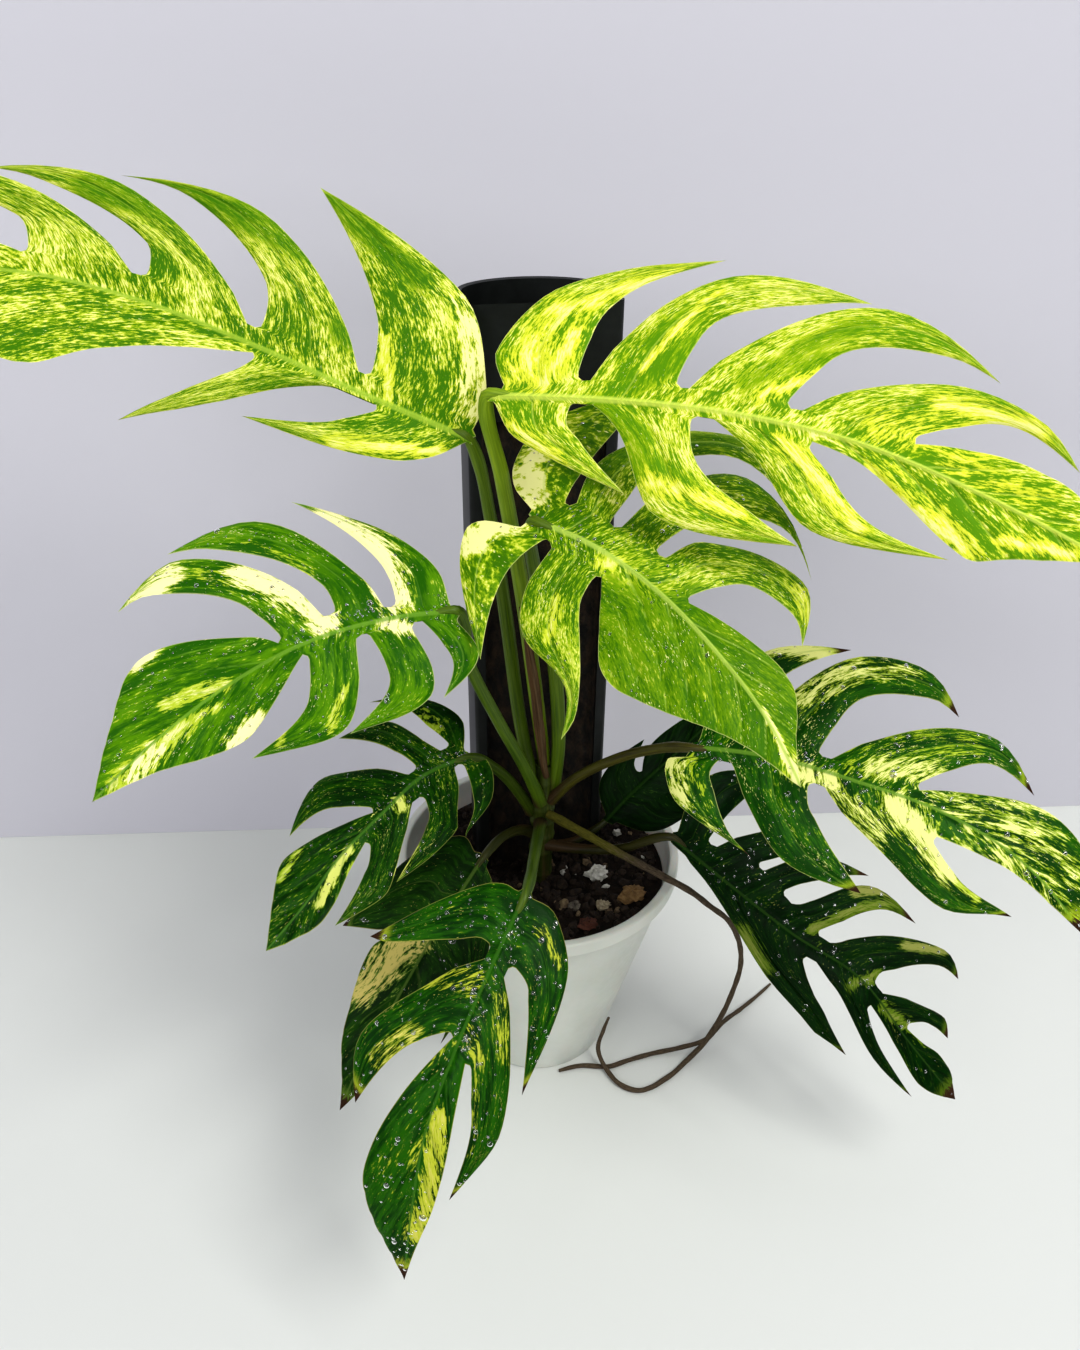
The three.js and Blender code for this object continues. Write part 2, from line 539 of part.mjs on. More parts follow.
// The closed blade: two like-triangled faces a thickness apart, with walls round the cut edge.
function blade(leaf) {
  const ribLength = course(leaf.rib).length;
  const surface = bladeSurface(leaf);
  const ownFeet = [feetOf(leaf.left), feetOf(leaf.right)];
  const merged = [];
  for (const foot of ownFeet.flat().sort((a, b) => a - b)) {
    if (!merged.length || foot - merged.at(-1) >= footMerge) merged.push(foot);
  }
  const snap = (foot) => merged.reduce((best, m) => (Math.abs(m - foot) < Math.abs(best - foot) ? m : best));
  const marks = [...merged, ribLength];
  const stations = [0];
  for (let i = 1; i < marks.length; i++) {
    const parts = Math.max(1, Math.round((marks[i] - marks[i - 1]) / stationStep));
    for (let k = 1; k <= parts; k++) stations.push(marks[i - 1] + ((marks[i] - marks[i - 1]) * k) / parts);
  }
  const corners = [];
  const skin = (p, hand, over) => {
    const { place, normal } = surface(p[0], hand * p[1]);
    const taper = Math.max(0, 1 - p[1] / ribReach) * (1 - 0.7 * THREE.MathUtils.clamp(p[0] / ribLength, 0, 1));
    const depth = over ? bladeThickness / 2 + ribRise * taper : -bladeThickness / 2 - ribKeel * taper;
    return place.addScaledVector(normal, depth);
  };
  const same = (p, q) => p.distanceToSquared(q) < 1e-6;
  const triangle = (hand, a, b, c) => {
    if (same(a, b) || same(b, c) || same(c, a)) return;
    for (const p of hand > 0 ? [a, b, c] : [a, c, b]) corners.push(p.x, p.y, p.z);
  };
  const patch = (grid, hand) => {
    for (let i = 0; i + 1 < grid.length; i++) {
      for (let j = 0; j + 1 < grid[i].length; j++) {
        for (const over of [true, false]) {
          const [a, b, c, d] = [grid[i][j], grid[i + 1][j], grid[i + 1][j + 1], grid[i][j + 1]]
            .map((p) => skin(p, hand, over));
          triangle(over ? hand : -hand, a, b, c);
          triangle(over ? hand : -hand, a, c, d);
        }
      }
    }
  };
  const wall = (line, hand) => {
    for (let i = 0; i + 1 < line.length; i++) {
      const [a, b, c, d] = [skin(line[i], hand, true), skin(line[i + 1], hand, true),
        skin(line[i + 1], hand, false), skin(line[i], hand, false)];
      triangle(hand, a, b, c);
      triangle(hand, a, c, d);
    }
  };
  const mix = (p, q, t) => [p[0] + (q[0] - p[0]) * t, p[1] + (q[1] - p[1]) * t];
  const steps = (count) => Array.from({ length: count + 1 }, (_, i) => i / count);
  const read = (line, t) => {
    const { place } = line.at(line.length * t);
    return [place.x, place.y];
  };
  [[leaf.left, 1, 0], [leaf.right, -1, 1]].forEach(([half, hand, index]) => {
    const feet = ownFeet[index].map(snap);
    half.lobes.forEach((lobe, i) => {
      const nextGap = i + 1 < half.lobes.length ? half.lobes[i + 1].gap : half.end[0];
      const back = course([lobe.gap, ...lobe.back, lobe.tip]);
      const front = course([nextGap, ...[...lobe.front].reverse(), lobe.tip]);
      const columns = stations.filter((s) => s >= feet[i] - 1e-6 && s <= feet[i + 1] + 1e-6);
      const grid = columns.map((x) => {
        const across = (x - feet[i]) / (feet[i + 1] - feet[i]);
        const chord = mix(lobe.gap, nextGap, across);
        const web = steps(webRows).slice(0, -1).map((t) => mix([x, 0], chord, t));
        const free = steps(freeRows).map((t) => mix(read(back, t), read(front, t), across));
        return [...web, ...free];
      });
      patch(grid, hand);
      wall(i === 0 ? grid[0] : grid[0].slice(webRows), hand);
      wall(grid.at(-1).slice(webRows).reverse(), hand);
    });
    const rim = course([...half.end, [ribLength, 0]]);
    const start = feet.at(-1);
    const grid = stations.filter((s) => s >= start - 1e-6).map((x) => {
      const outer = read(rim, (x - start) / (ribLength - start));
      return steps(webRows).map((t) => mix([x, 0], outer, t));
    });
    patch(grid, hand);
    wall(grid.map((column) => column.at(-1)), hand);
  });
  const geometry = new THREE.BufferGeometry();
  geometry.setAttribute("position", new THREE.BufferAttribute(new Float32Array(corners), 3));
  return geometry;
}

// A leaf is its blade joined to its stalk, whose end is tucked into the midrib's keel, cut clear of the stem.
function leafMesh(leaf, keepOut) {
  const surface = bladeSurface(leaf);
  const { place, normal } = surface(stalkTuck, 0);
  const tuck = place.addScaledVector(normal, -1);
  const line = [...leaf.stalk, [tuck.x, tuck.y, tuck.z]];
  const stalk = solid(tube(line, [...leaf.stalkRadii, 0.9], 8, 3 * leaf.stalk.length));
  let body = solid(blade(leaf)).add(stalk);
  for (const other of keepOut) body = body.subtract(other);
  return finish(leaf.name, shape(body), leaf.colour, 0.4);
}

function aerialRoot(keepOut) {
  const main = solid(tube(rootCourse, rootRadii, 7, 52));
  const branch = solid(tube(branchCourse, branchRadii, 7, 32));
  return finish("aerial_root", shape(main.add(branch).subtract(keepOut)), 0x4a3320, 0.8);
}

const plant = new THREE.Group();
plant.add(pot(), pottingMix(), growPole(), poleFill());
plant.add(finish("stem", shape(stemBody(0)), 0x4f6a20, 0.5));
const stemRoom = stemBody(clearance);
for (const leaf of leaves) plant.add(leafMesh(leaf, [stemRoom]));
plant.add(finish("dry_sheath", shape(solid(tube(sheathCourse, sheathRadii, 6, 8)).subtract(stemRoom)), 0x5b3a22, 0.9));
plant.add(aerialRoot(stemRoom));
lumps.forEach((entry, index) => plant.add(lump(entry, index)));

export default plant;
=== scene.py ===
import bpy
import numpy as np
from mathutils import Matrix


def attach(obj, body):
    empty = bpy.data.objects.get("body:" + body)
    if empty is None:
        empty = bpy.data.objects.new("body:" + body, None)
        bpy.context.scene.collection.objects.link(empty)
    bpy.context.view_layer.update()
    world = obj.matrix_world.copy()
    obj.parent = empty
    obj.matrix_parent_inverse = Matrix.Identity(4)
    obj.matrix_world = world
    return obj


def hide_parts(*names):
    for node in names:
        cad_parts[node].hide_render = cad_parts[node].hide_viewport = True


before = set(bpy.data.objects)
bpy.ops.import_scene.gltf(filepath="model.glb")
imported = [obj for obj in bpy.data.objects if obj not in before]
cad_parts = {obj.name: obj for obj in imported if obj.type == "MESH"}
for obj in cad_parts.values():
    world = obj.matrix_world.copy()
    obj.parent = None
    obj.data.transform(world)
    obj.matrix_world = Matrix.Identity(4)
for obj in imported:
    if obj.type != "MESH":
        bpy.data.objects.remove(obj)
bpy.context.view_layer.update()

# The setting: a white table top in front of a pale lavender-grey wall, in soft daylight from above and in
# front. The camera stands half a metre in front of the pot and looks down on it.
MM = 0.001
eye = np.array([0.0, -478.0, 546.0]) * MM
look_down = np.radians(31.4)
camera_roll = np.radians(-0.6)
frame_height_pixels = 1350
focal_pixels = 1082
ahead = np.array([0.0, np.cos(look_down), -np.sin(look_down)])
level = np.array([1.0, 0.0, 0.0])
below = np.array([0.0, -np.sin(look_down), -np.cos(look_down)])
right = np.cos(camera_roll) * level + np.sin(camera_roll) * below
down = np.cos(camera_roll) * below - np.sin(camera_roll) * level


def unit(vectors):
    """The same directions, each with a length of 1."""
    return vectors / np.linalg.norm(vectors, axis=-1, keepdims=True)


def placement(side, up, back, place):
    """The matrix that stands an object at place, its own X, Y and Z along side, up and back."""
    rows = np.eye(4)
    rows[:3] = np.stack([side, up, back, place], -1)
    return Matrix(rows.tolist())


camera = bpy.data.objects.new("camera", bpy.data.cameras.new("camera"))
camera.data.sensor_fit = "VERTICAL"
camera.data.sensor_height = 36.0
camera.data.lens = camera.data.sensor_height * focal_pixels / frame_height_pixels
camera.data.clip_start = 0.02
camera.matrix_world = placement(right, -down, -ahead, eye)
bpy.context.scene.collection.objects.link(camera)
bpy.context.scene.camera = camera
bpy.context.scene.view_settings.view_transform = "Standard"
bpy.context.scene.view_settings.look = "Medium High Contrast"


def add_panel_light(name, place, towards, size, watts, colour):
    """A square soft light at place that faces the point towards."""
    light = bpy.data.lights.new(name, "AREA")
    light.size = size
    light.energy = watts
    light.color = colour
    lamp = bpy.data.objects.new(name, light)
    back = unit(np.array(place) - np.array(towards))
    side = unit(np.cross([0.0, 0.0, 1.0], back))
    lamp.matrix_world = placement(side, np.cross(back, side), back, place)
    bpy.context.scene.collection.objects.link(lamp)


plant_middle = (0.0, -0.05, 0.25)
add_panel_light("window_light", (1.2, -1.2, 2.6), plant_middle, 1.3, 56, (1.0, 1.0, 0.97))
add_panel_light("room_light", (-1.1, -2.2, 1.5), plant_middle, 1.5, 27, (0.98, 0.98, 1.0))

world = bpy.data.worlds.new("daylight")
world.use_nodes = True
world.node_tree.nodes["Background"].inputs["Color"].default_value = (0.9, 0.92, 1.0, 1)
world.node_tree.nodes["Background"].inputs["Strength"].default_value = 0.3
bpy.context.scene.world = world


def new_material(name, roughness, **constants):
    """A material with one Principled shader, its roughness and any other constant sockets set."""
    made = bpy.data.materials.new(name)
    made.use_nodes = True
    shader = made.node_tree.nodes["Principled BSDF"]
    shader.inputs["Roughness"].default_value = roughness
    for socket, value in constants.items():
        shader.inputs[socket.replace("_", " ")].default_value = value
    return made, shader


def add_node(tree, kind, values=None, **settings):
    """A shader node with its settings, and its unlinked inputs set by name or number."""
    node = tree.nodes.new(kind)
    for key, value in settings.items():
        setattr(node, key, value)
    for key, value in (values or {}).items():
        node.inputs[key].default_value = value
    return node


def join(tree, *links):
    """Links each pair of an output socket and an input socket."""
    for source, target in links:
        tree.links.new(source, target)


def mesh_piece(name, points, faces, material, uv=None, marks=None, crease=40):
    """A smooth-shaded object from points in metres and triangles, shaded sharp past the crease angle.

    uv is one (u, v) a point, and marks are named numbers, one a point.
    """
    mesh = bpy.data.meshes.new(name)
    mesh.from_pydata(points.tolist(), [], faces.tolist())
    if uv is not None:
        corner = np.empty(len(mesh.loops), dtype=np.int32)
        mesh.loops.foreach_get("vertex_index", corner)
        mesh.uv_layers.new(name="vein_map").data.foreach_set("uv", uv[corner].astype(np.float32).ravel())
    for key, values in (marks or {}).items():
        mesh.attributes.new(key, "FLOAT", "POINT").data.foreach_set("value", values.astype(np.float32))
    mesh.materials.append(material)
    mesh.shade_smooth()
    mesh.set_sharp_from_angle(angle=np.radians(crease))
    piece = bpy.data.objects.new(name, mesh)
    bpy.context.scene.collection.objects.link(piece)
    return piece


def stage_surface(name, corners, colour):
    """A flat stage surface that can't be seen, and casts no shadow, from behind."""
    made, shader = new_material(name, 0.6, Base_Color=colour)
    tree = made.node_tree
    clear = add_node(tree, "ShaderNodeBsdfTransparent")
    behind = add_node(tree, "ShaderNodeNewGeometry")
    blend = add_node(tree, "ShaderNodeMixShader")
    join(tree, (behind.outputs["Backfacing"], blend.inputs["Fac"]), (shader.outputs["BSDF"], blend.inputs[1]),
         (clear.outputs["BSDF"], blend.inputs[2]),
         (blend.outputs["Shader"], tree.nodes["Material Output"].inputs["Surface"]))
    surface = mesh_piece(name, np.array(corners, float), np.array([[0, 1, 2], [0, 2, 3]]), made)


room_half = 2.5
wall_middle = 0.193
wall_slant = 0.063
wall_left = wall_middle - wall_slant * room_half
wall_right = wall_middle + wall_slant * room_half
wall_bottom = 0.0005
wall_top = 2.5
stage_surface("table_top", [
    (-room_half, -room_half, 0), (room_half, -room_half, 0), (room_half, room_half, 0),
    (-room_half, room_half, 0)], (0.67, 0.685, 0.655, 1))
stage_surface("wall", [
    (-room_half, wall_left, wall_bottom), (room_half, wall_right, wall_bottom),
    (room_half, wall_right, wall_top), (-room_half, wall_left, wall_top)], (0.56, 0.55, 0.60, 1))

# The pot: a white nursery pot moulded in thin polypropylene, tapering to a flat base, with a rolled rim and
# four drain holes through its base.
pot_height = 140 * MM
pot_base_radius = 42 * MM
pot_neck_radius = 76 * MM
pot_rim_radius = 80 * MM
pot_mouth_radius = 75 * MM
pot_rim_depth = 9 * MM
pot_wall = 2 * MM
pot_neck_height = pot_height - pot_rim_depth
pot_waist = 0.4 * pot_neck_height
pot_corner = 1.6 * MM
pot_sides = 180
drain_hole_radius = 4 * MM
drain_hole_ring = 26 * MM
drain_holes = 4
drain_hole_sides = 24
punch_bottom = -3 * MM
punch_top = 7 * MM
weld_distance = 0.002 * MM


def weld(grids):
    """Joins grids of points into one mesh: equal points become one, and faces that vanish are dropped.

    A grid is rows by columns by (place, further values), and comes with True where its faces are to be turned
    over. A cell becomes two triangles on one diagonal.
    """
    stacked = np.concatenate([grid.reshape(-1, grid.shape[-1]) for grid, _ in grids])
    cells = []
    start = 0
    for grid, turned in grids:
        rows, columns = grid.shape[:2]
        index = start + np.arange(rows * columns).reshape(rows, columns)
        a, b, c, d = index[:-1, :-1], index[1:, :-1], index[1:, 1:], index[:-1, 1:]
        both = [np.stack([a, b, c], -1), np.stack([a, c, d], -1)]
        triangles = np.concatenate([part.reshape(-1, 3) for part in both])
        cells.append(triangles[:, ::-1] if turned else triangles)
        start += rows * columns
    triangles = np.concatenate(cells)
    keys = np.round(stacked[:, :3] / weld_distance).astype(np.int64)
    _, first, same = np.unique(keys, axis=0, return_index=True, return_inverse=True)
    triangles = same.reshape(-1)[triangles]
    kept = (triangles[:, 0] != triangles[:, 1]) & (triangles[:, 1] != triangles[:, 2])
    kept &= triangles[:, 2] != triangles[:, 0]
    return stacked[first], triangles[kept]


def full_turn(sides):
    """The angles of one turn in equal steps, the last exactly the same as the first."""
    turn = np.linspace(0, 2 * np.pi, sides + 1)
    turn[-1] = 0
    return turn


def revolve(profile, sides):
    """Turns a profile of (radius, height) rows once round Z: x = r cos t, y = r sin t."""
    turn = full_turn(sides)
    radius, height = profile[:, 0][None], profile[:, 1][None]
    return np.stack([radius * np.cos(turn)[:, None], radius * np.sin(turn)[:, None],
                     np.broadcast_to(height, (len(turn), len(profile)))], -1)


def rounded(corners, radius, steps=5):
    """A profile with each inner corner replaced by a quadratic arc that starts radius before the corner."""
    corners = np.array(corners, float)
    out = [corners[:1]]
    t = np.linspace(0, 1, steps)[:, None]
    for before, corner, after in zip(corners[:-2], corners[1:-1], corners[2:]):
        reach = min(radius, np.linalg.norm(corner - before) / 2.1, np.linalg.norm(after - corner) / 2.1)
        start = corner + (before - corner) / np.linalg.norm(before - corner) * reach
        stop = corner + (after - corner) / np.linalg.norm(after - corner) * reach
        out.append((1 - t) ** 2 * start + 2 * t * (1 - t) * corner + t ** 2 * stop)
    return np.concatenate(out + [corners[-1:]])


def pot_radius(height):
    """The outer wall's radius at a height: a straight taper from the base to the neck."""
    return pot_base_radius + (pot_neck_radius - pot_base_radius) * height / pot_neck_height


pot_profile = rounded([
    (0, 0), (pot_base_radius, 0), (pot_radius(pot_waist), pot_waist), (pot_neck_radius, pot_neck_height),
    (pot_rim_radius, pot_neck_height), (pot_rim_radius, pot_height), (pot_mouth_radius, pot_height),
    (pot_neck_radius - pot_wall, pot_neck_height), (pot_base_radius, 2 * pot_wall), (0, 2 * pot_wall)],
    pot_corner)
pot_profile[-1, 1] = pot_wall
pot_points, pot_faces = weld([(revolve(pot_profile, pot_sides), False)])


def new_group(name, takes, gives):
    """An empty node group with sockets of these names and kinds, and the sockets of its two end nodes."""
    group = bpy.data.node_groups.new(name, "ShaderNodeTree")
    for way, sockets in (("INPUT", takes), ("OUTPUT", gives)):
        for socket, kind in sockets.items():
            group.interface.new_socket(socket, in_out=way, socket_type="NodeSocket" + kind)
    return group, group.nodes.new("NodeGroupInput").outputs, group.nodes.new("NodeGroupOutput").inputs


def lay_colour(tree, under, colour, amount):
    """A colour, plain or from a socket, laid over another by an amount from 0 to 1."""
    colour_a, colour_b, colour_out = 6, 7, 2
    node = add_node(tree, "ShaderNodeMix", data_type="RGBA")
    join(tree, (amount, node.inputs["Factor"]), (under, node.inputs[colour_a]))
    if isinstance(colour, tuple):
        node.inputs[colour_b].default_value = colour
    else:
        tree.links.new(colour, node.inputs[colour_b])
    return node.outputs[colour_out]


def clouded_tones_group():
    """Two tones mixed by noise, as a node group: the dark one up to From, and the light one past To."""
    noise_inputs = ("Scale", "Detail", "Roughness")
    group, given, result = new_group("clouded_tones", {
        "Vector": "Vector", **dict.fromkeys((*noise_inputs, "From", "To"), "Float"),
        "Dark": "Color", "Light": "Color"}, {"Colour": "Color", "Cloud": "Float"})
    noise = add_node(group, "ShaderNodeTexNoise")
    share = add_node(group, "ShaderNodeMapRange")
    cloud = noise.outputs["Fac"]
    join(group, *[(given[socket], noise.inputs[socket]) for socket in ("Vector", *noise_inputs)],
         (given["From"], share.inputs["From Min"]), (given["To"], share.inputs["From Max"]),
         (cloud, share.inputs["Value"]), (cloud, result["Cloud"]))
    mixed = lay_colour(group, given["Dark"], given["Light"], share.outputs["Result"])
    group.links.new(mixed, result["Colour"])
    return group


clouded_tones = clouded_tones_group()


def clouded_material(name, roughness, tones, cloud, steps, bump, raised_by=None, stretch=None, **constants):
    """A material in two tones, clouded by noise over the object's own place, with a bump.

    cloud is the noise's scale, detail and roughness. steps are the noise values where the dark tone ends and
    where the light one starts. bump is its strength and distance. It follows the cloud, or else a texture
    given in raised_by as the kind of its node and its values. The bump's height socket comes back as well.
    """
    made, shader = new_material(name, roughness, **constants)
    tree = made.node_tree
    place = add_node(tree, "ShaderNodeTexCoord").outputs["Object"]
    if stretch:
        stretched = add_node(tree, "ShaderNodeMapping", {"Scale": stretch})
        tree.links.new(place, stretched.inputs["Vector"])
        place = stretched.outputs["Vector"]
    sockets = ("Dark", "Light", "Scale", "Detail", "Roughness", "From", "To")
    mixed = add_node(tree, "ShaderNodeGroup", dict(zip(sockets, (*tones, *cloud, *steps))),
                     node_tree=clouded_tones)
    height = mixed.outputs["Cloud"]
    if raised_by:
        texture = add_node(tree, *raised_by)
        tree.links.new(place, texture.inputs["Vector"])
        height = texture.outputs[0]
    relief = add_node(tree, "ShaderNodeBump", {"Strength": bump[0], "Distance": bump[1]})
    join(tree, (place, mixed.inputs["Vector"]), (mixed.outputs["Colour"], shader.inputs["Base Color"]),
         (height, relief.inputs["Height"]), (relief.outputs["Normal"], shader.inputs["Normal"]))
    return made, shader, height


pot_material, pot_shader, pot_scuff = clouded_material(
    "white_polypropylene", 0.38, ((0.60, 0.62, 0.55, 1), (0.70, 0.71, 0.65, 1)), (18.0, 5.0, 0.5), (0.3, 0.7),
    (0.06, 0.0004), ("ShaderNodeTexNoise", {"Scale": 240.0, "Detail": 3.0}), Coat_Weight=0.12,
    Subsurface_Weight=0.15, Subsurface_Scale=0.004)
pot_gloss = add_node(pot_material.node_tree, "ShaderNodeMapRange", {
    "From Min": 0.3, "From Max": 0.7, "To Min": 0.3, "To Max": 0.5})
join(pot_material.node_tree, (pot_scuff, pot_gloss.inputs["Value"]),
     (pot_gloss.outputs["Result"], pot_shader.inputs["Roughness"]))

pot = mesh_piece("nursery_pot", pot_points, pot_faces, pot_material, crease=50)
hole_turns = 2 * np.pi * (np.arange(drain_holes) + 0.5) / drain_holes
punch_profile = np.array([
    (0, punch_bottom), (drain_hole_radius, punch_bottom), (drain_hole_radius, punch_top), (0, punch_top)])
punch_shape = revolve(punch_profile, drain_hole_sides)
punch_grids = [(punch_shape + [drain_hole_ring * np.cos(t), drain_hole_ring * np.sin(t), 0], False)
               for t in hole_turns]
punch_points, punch_faces = weld(punch_grids)
punch = mesh_piece("drain_hole_punch", punch_points, punch_faces, pot_material)
cut = pot.modifiers.new("drain_holes", "BOOLEAN")
cut.object = punch
cut.operation = "DIFFERENCE"
cut.solver = "EXACT"
bpy.context.view_layer.update()
punched = bpy.data.meshes.new_from_object(pot.evaluated_get(bpy.context.evaluated_depsgraph_get()))
pot.modifiers.clear()
pot.data = punched
bpy.data.objects.remove(punch)
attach(pot, "root")
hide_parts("pot")

# The potting mix: damp dark bark, fibre and perlite, tipped into the pot and settled round the pole and stem,
# with crumbs of bark and perlite loose on its top.
soil_level = 125 * MM
soil_floor = 3.5 * MM
soil_clearance = 0.3 * MM
soil_dip = 0.8
soil_fade = 5 * MM
soil_sides = 240
soil_rings = 64
soil_lumps = ((1.3, 9, 3), (0.7, 4, 4), (0.4, 1.8, 5))
noise_cells = 64


def value_noise(x, y, cell, seed):
    """Smooth noise from -1 to 1: random heights on a square lattice, blended by 3t^2 - 2t^3."""
    rng = np.random.default_rng(seed)
    table = rng.uniform(-1, 1, (noise_cells, noise_cells))
    u, v = x / cell, y / cell
    i, j = np.floor(u).astype(int), np.floor(v).astype(int)
    s, t = u - i, v - j
    s, t = s * s * (3 - 2 * s), t * t * (3 - 2 * t)
    i, j, i_next, j_next = i % noise_cells, j % noise_cells, (i + 1) % noise_cells, (j + 1) % noise_cells
    return ((table[i, j] * (1 - s) + table[i_next, j] * s) * (1 - t)
            + (table[i, j_next] * (1 - s) + table[i_next, j_next] * s) * t)


def soil_surface(radius, turn):
    """The top's height: the level plus three sizes of lump, fading to nothing at the wall.

    Each row of soil_lumps is a size of lump: its height and its width in millimetres, and its seed.
    """
    x, y = radius * np.cos(turn), radius * np.sin(turn)
    lumps = sum(height * value_noise(x, y, cell * MM, seed) for height, cell, seed in soil_lumps)
    edge = pot_radius(soil_level) - pot_wall - soil_clearance
    fade = np.clip((edge - radius) / soil_fade, 0, 1)
    return soil_level + (lumps * fade - soil_dip) * MM


soil_edge = pot_radius(soil_level) - pot_wall - 2 * soil_clearance
soil_radii = np.linspace(0, soil_edge, soil_rings)
turn_grid, radius_grid = np.meshgrid(full_turn(soil_sides), soil_radii, indexing="ij")
soil_top = np.stack([radius_grid * np.cos(turn_grid), radius_grid * np.sin(turn_grid),
                     soil_surface(radius_grid, turn_grid)], -1)
soil_side_profile = np.array([
    (0, soil_floor), (pot_radius(soil_floor) - pot_wall - 2 * soil_clearance, soil_floor),
    (soil_edge, soil_level - soil_dip * MM)])
soil_side = revolve(soil_side_profile, soil_sides)
soil_side[:, -1] = soil_top[:, -1]
soil_points, soil_faces = weld([(soil_top, True), (soil_side, False)])

soil_material = clouded_material(
    "damp_potting_mix", 0.85, ((0.004, 0.003, 0.002, 1), (0.03, 0.018, 0.011, 1)), (160.0, 8.0, 0.7),
    (0.35, 0.75), (0.7, 0.001), ("ShaderNodeTexVoronoi", {"Scale": 420.0}), Specular_IOR_Level=0.2)[0]

soil = mesh_piece("potting_mix_top", soil_points, soil_faces, soil_material)
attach(soil, "root")
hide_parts("potting_mix")

crumb_roughness = 0.28
crumb_margin = 3 * MM


def crumb_grids(middles, sizes, seed, rings=5, sides=8):
    """Rough lumps: each a small ball r = size (1 + noise), squeezed by its own three sizes and turned."""
    rng = np.random.default_rng(seed)
    p, t = np.meshgrid(np.linspace(0, np.pi, rings), full_turn(sides), indexing="ij")
    ball = np.stack([np.sin(p) * np.cos(t), np.sin(p) * np.sin(t), np.cos(p)], -1)
    rough = 1 + rng.uniform(-crumb_roughness, crumb_roughness, (len(middles), rings, sides + 1))
    rough[:, :, -1] = rough[:, :, 0]
    rough[:, 0] = rough[:, 0, :1]
    rough[:, -1] = rough[:, -1, :1]
    spin = rng.uniform(0, 2 * np.pi, len(middles))[:, None, None]
    shapes = ball[None] * rough[..., None] * sizes[:, None, None, :]
    x = shapes[..., 0] * np.cos(spin) - shapes[..., 1] * np.sin(spin)
    y = shapes[..., 0] * np.sin(spin) + shapes[..., 1] * np.cos(spin)
    placed = np.stack([x, y, shapes[..., 2]], -1) + middles[:, None, None, :]
    return [(grid, False) for grid in placed]


def crumb_material(name, dark, light, roughness):
    """Broken bark or perlite: two tones clouded by noise, with a crumbly bump."""
    made = clouded_material(name, roughness, (dark, light), (330.0, 6.0, 0.65), (0.35, 0.68), (0.6, 0.0006))
    return made[0]


# Each kind of crumb has its name, number, half size in millimetres, dark and light tones, and slot.
crumb_kinds = [
    ("bark_crumbs", 620, 2.2, (0.006, 0.0035, 0.002, 1), (0.042, 0.024, 0.013, 1), "bark"),
    ("pale_crumbs", 60, 1.8, (0.09, 0.06, 0.035, 1), (0.26, 0.19, 0.11, 1), "bark"),
    ("perlite_crumbs", 34, 1.5, (0.42, 0.40, 0.35, 1), (0.72, 0.70, 0.64, 1), "perlite"),
]
for kind_seed, (kind, count, half_size, dark, light, slot) in enumerate(crumb_kinds):
    draw = np.random.default_rng(20 + kind_seed)
    crumb_radius = (soil_edge - crumb_margin) * np.sqrt(draw.uniform(0.0, 1.0, count))
    crumb_turn = draw.uniform(0, 2 * np.pi, count)
    crumb_size = half_size * MM * draw.uniform(0.45, 1.6, (count, 1)) * draw.uniform(0.6, 1.3, (count, 3))
    crumb_middle = np.stack([crumb_radius * np.cos(crumb_turn), crumb_radius * np.sin(crumb_turn),
                             soil_surface(crumb_radius, crumb_turn) + 0.25 * crumb_size[:, 2]], -1)
    crumb_points, crumb_faces = weld(crumb_grids(crumb_middle, crumb_size, 40 + kind_seed))
    crumbs = mesh_piece(kind, crumb_points, crumb_faces, crumb_material(kind, dark, light, 0.9), crease=30)
    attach(crumbs, "root")

# The larger lumps that lie loose on the mix: one grain of perlite, and four pieces of bark in their own
# browns. Each has its place and three sizes in millimetres, its dark and light tones, and its slot.
lumps = [
    ("perlite_grain", (34, -9), (13, 11, 9), (0.45, 0.43, 0.38, 1), (0.78, 0.76, 0.70, 1), "perlite"),
    ("bark_chunk_tan", (53, -26), (16, 13, 8), (0.16, 0.09, 0.03, 1), (0.34, 0.21, 0.09, 1), "bark"),
    ("bark_chunk_beige", (36, -34), (9, 8, 6), (0.22, 0.17, 0.10, 1), (0.42, 0.36, 0.26, 1), "bark"),
    ("bark_chunk_red", (27, -49), (12, 9, 6), (0.05, 0.016, 0.008, 1), (0.15, 0.05, 0.03, 1), "bark"),
    ("bark_chunk_grey", (20, -35), (8, 7, 5), (0.09, 0.075, 0.06, 1), (0.22, 0.19, 0.15, 1), "bark"),
]
lump_core = 0.86
lump_swell = 0.10
lump_waves = (900, 1100)
for index, (lump, place, size, dark, light, slot) in enumerate(lumps):
    half = np.array([size], float) / 2 * MM
    middle = np.array([[place[0] * MM, place[1] * MM, soil_level + 0.3 * size[2] * MM]])
    lump_points, lump_faces = weld(crumb_grids(middle, half, 60 + index, rings=12, sides=18))
    away = lump_points - middle
    swell = lump_swell * np.sin(away[:, :1] * lump_waves[0]) * np.cos(away[:, 1:2] * lump_waves[1] + index)
    lump_points = middle + away * (lump_core + swell)
    lump_material = crumb_material(lump, dark, light, 0.88)
    piece = mesh_piece(lump + "_fine", lump_points, lump_faces, lump_material, crease=60)
    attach(piece, "root")
    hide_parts(lump)

# The grow pole: a black plastic channel with a rounded back and turned-in lips, closed at the front only in a
# band at its top, and pushed into the mix behind the stem.
pole_width = 71 * MM
pole_side_depth = 28 * MM
pole_depth = 55 * MM
pole_wall = 2 * MM
pole_lip = 6 * MM
pole_foot = 82 * MM
pole_top = 440 * MM
pole_band = 52 * MM
pole_turn = np.radians(11)
pole_front = np.array([1, 4.5]) * MM
pole_bevel = 0.6 * MM
pole_corner = 2.5 * MM
inner_corner = 1 * MM


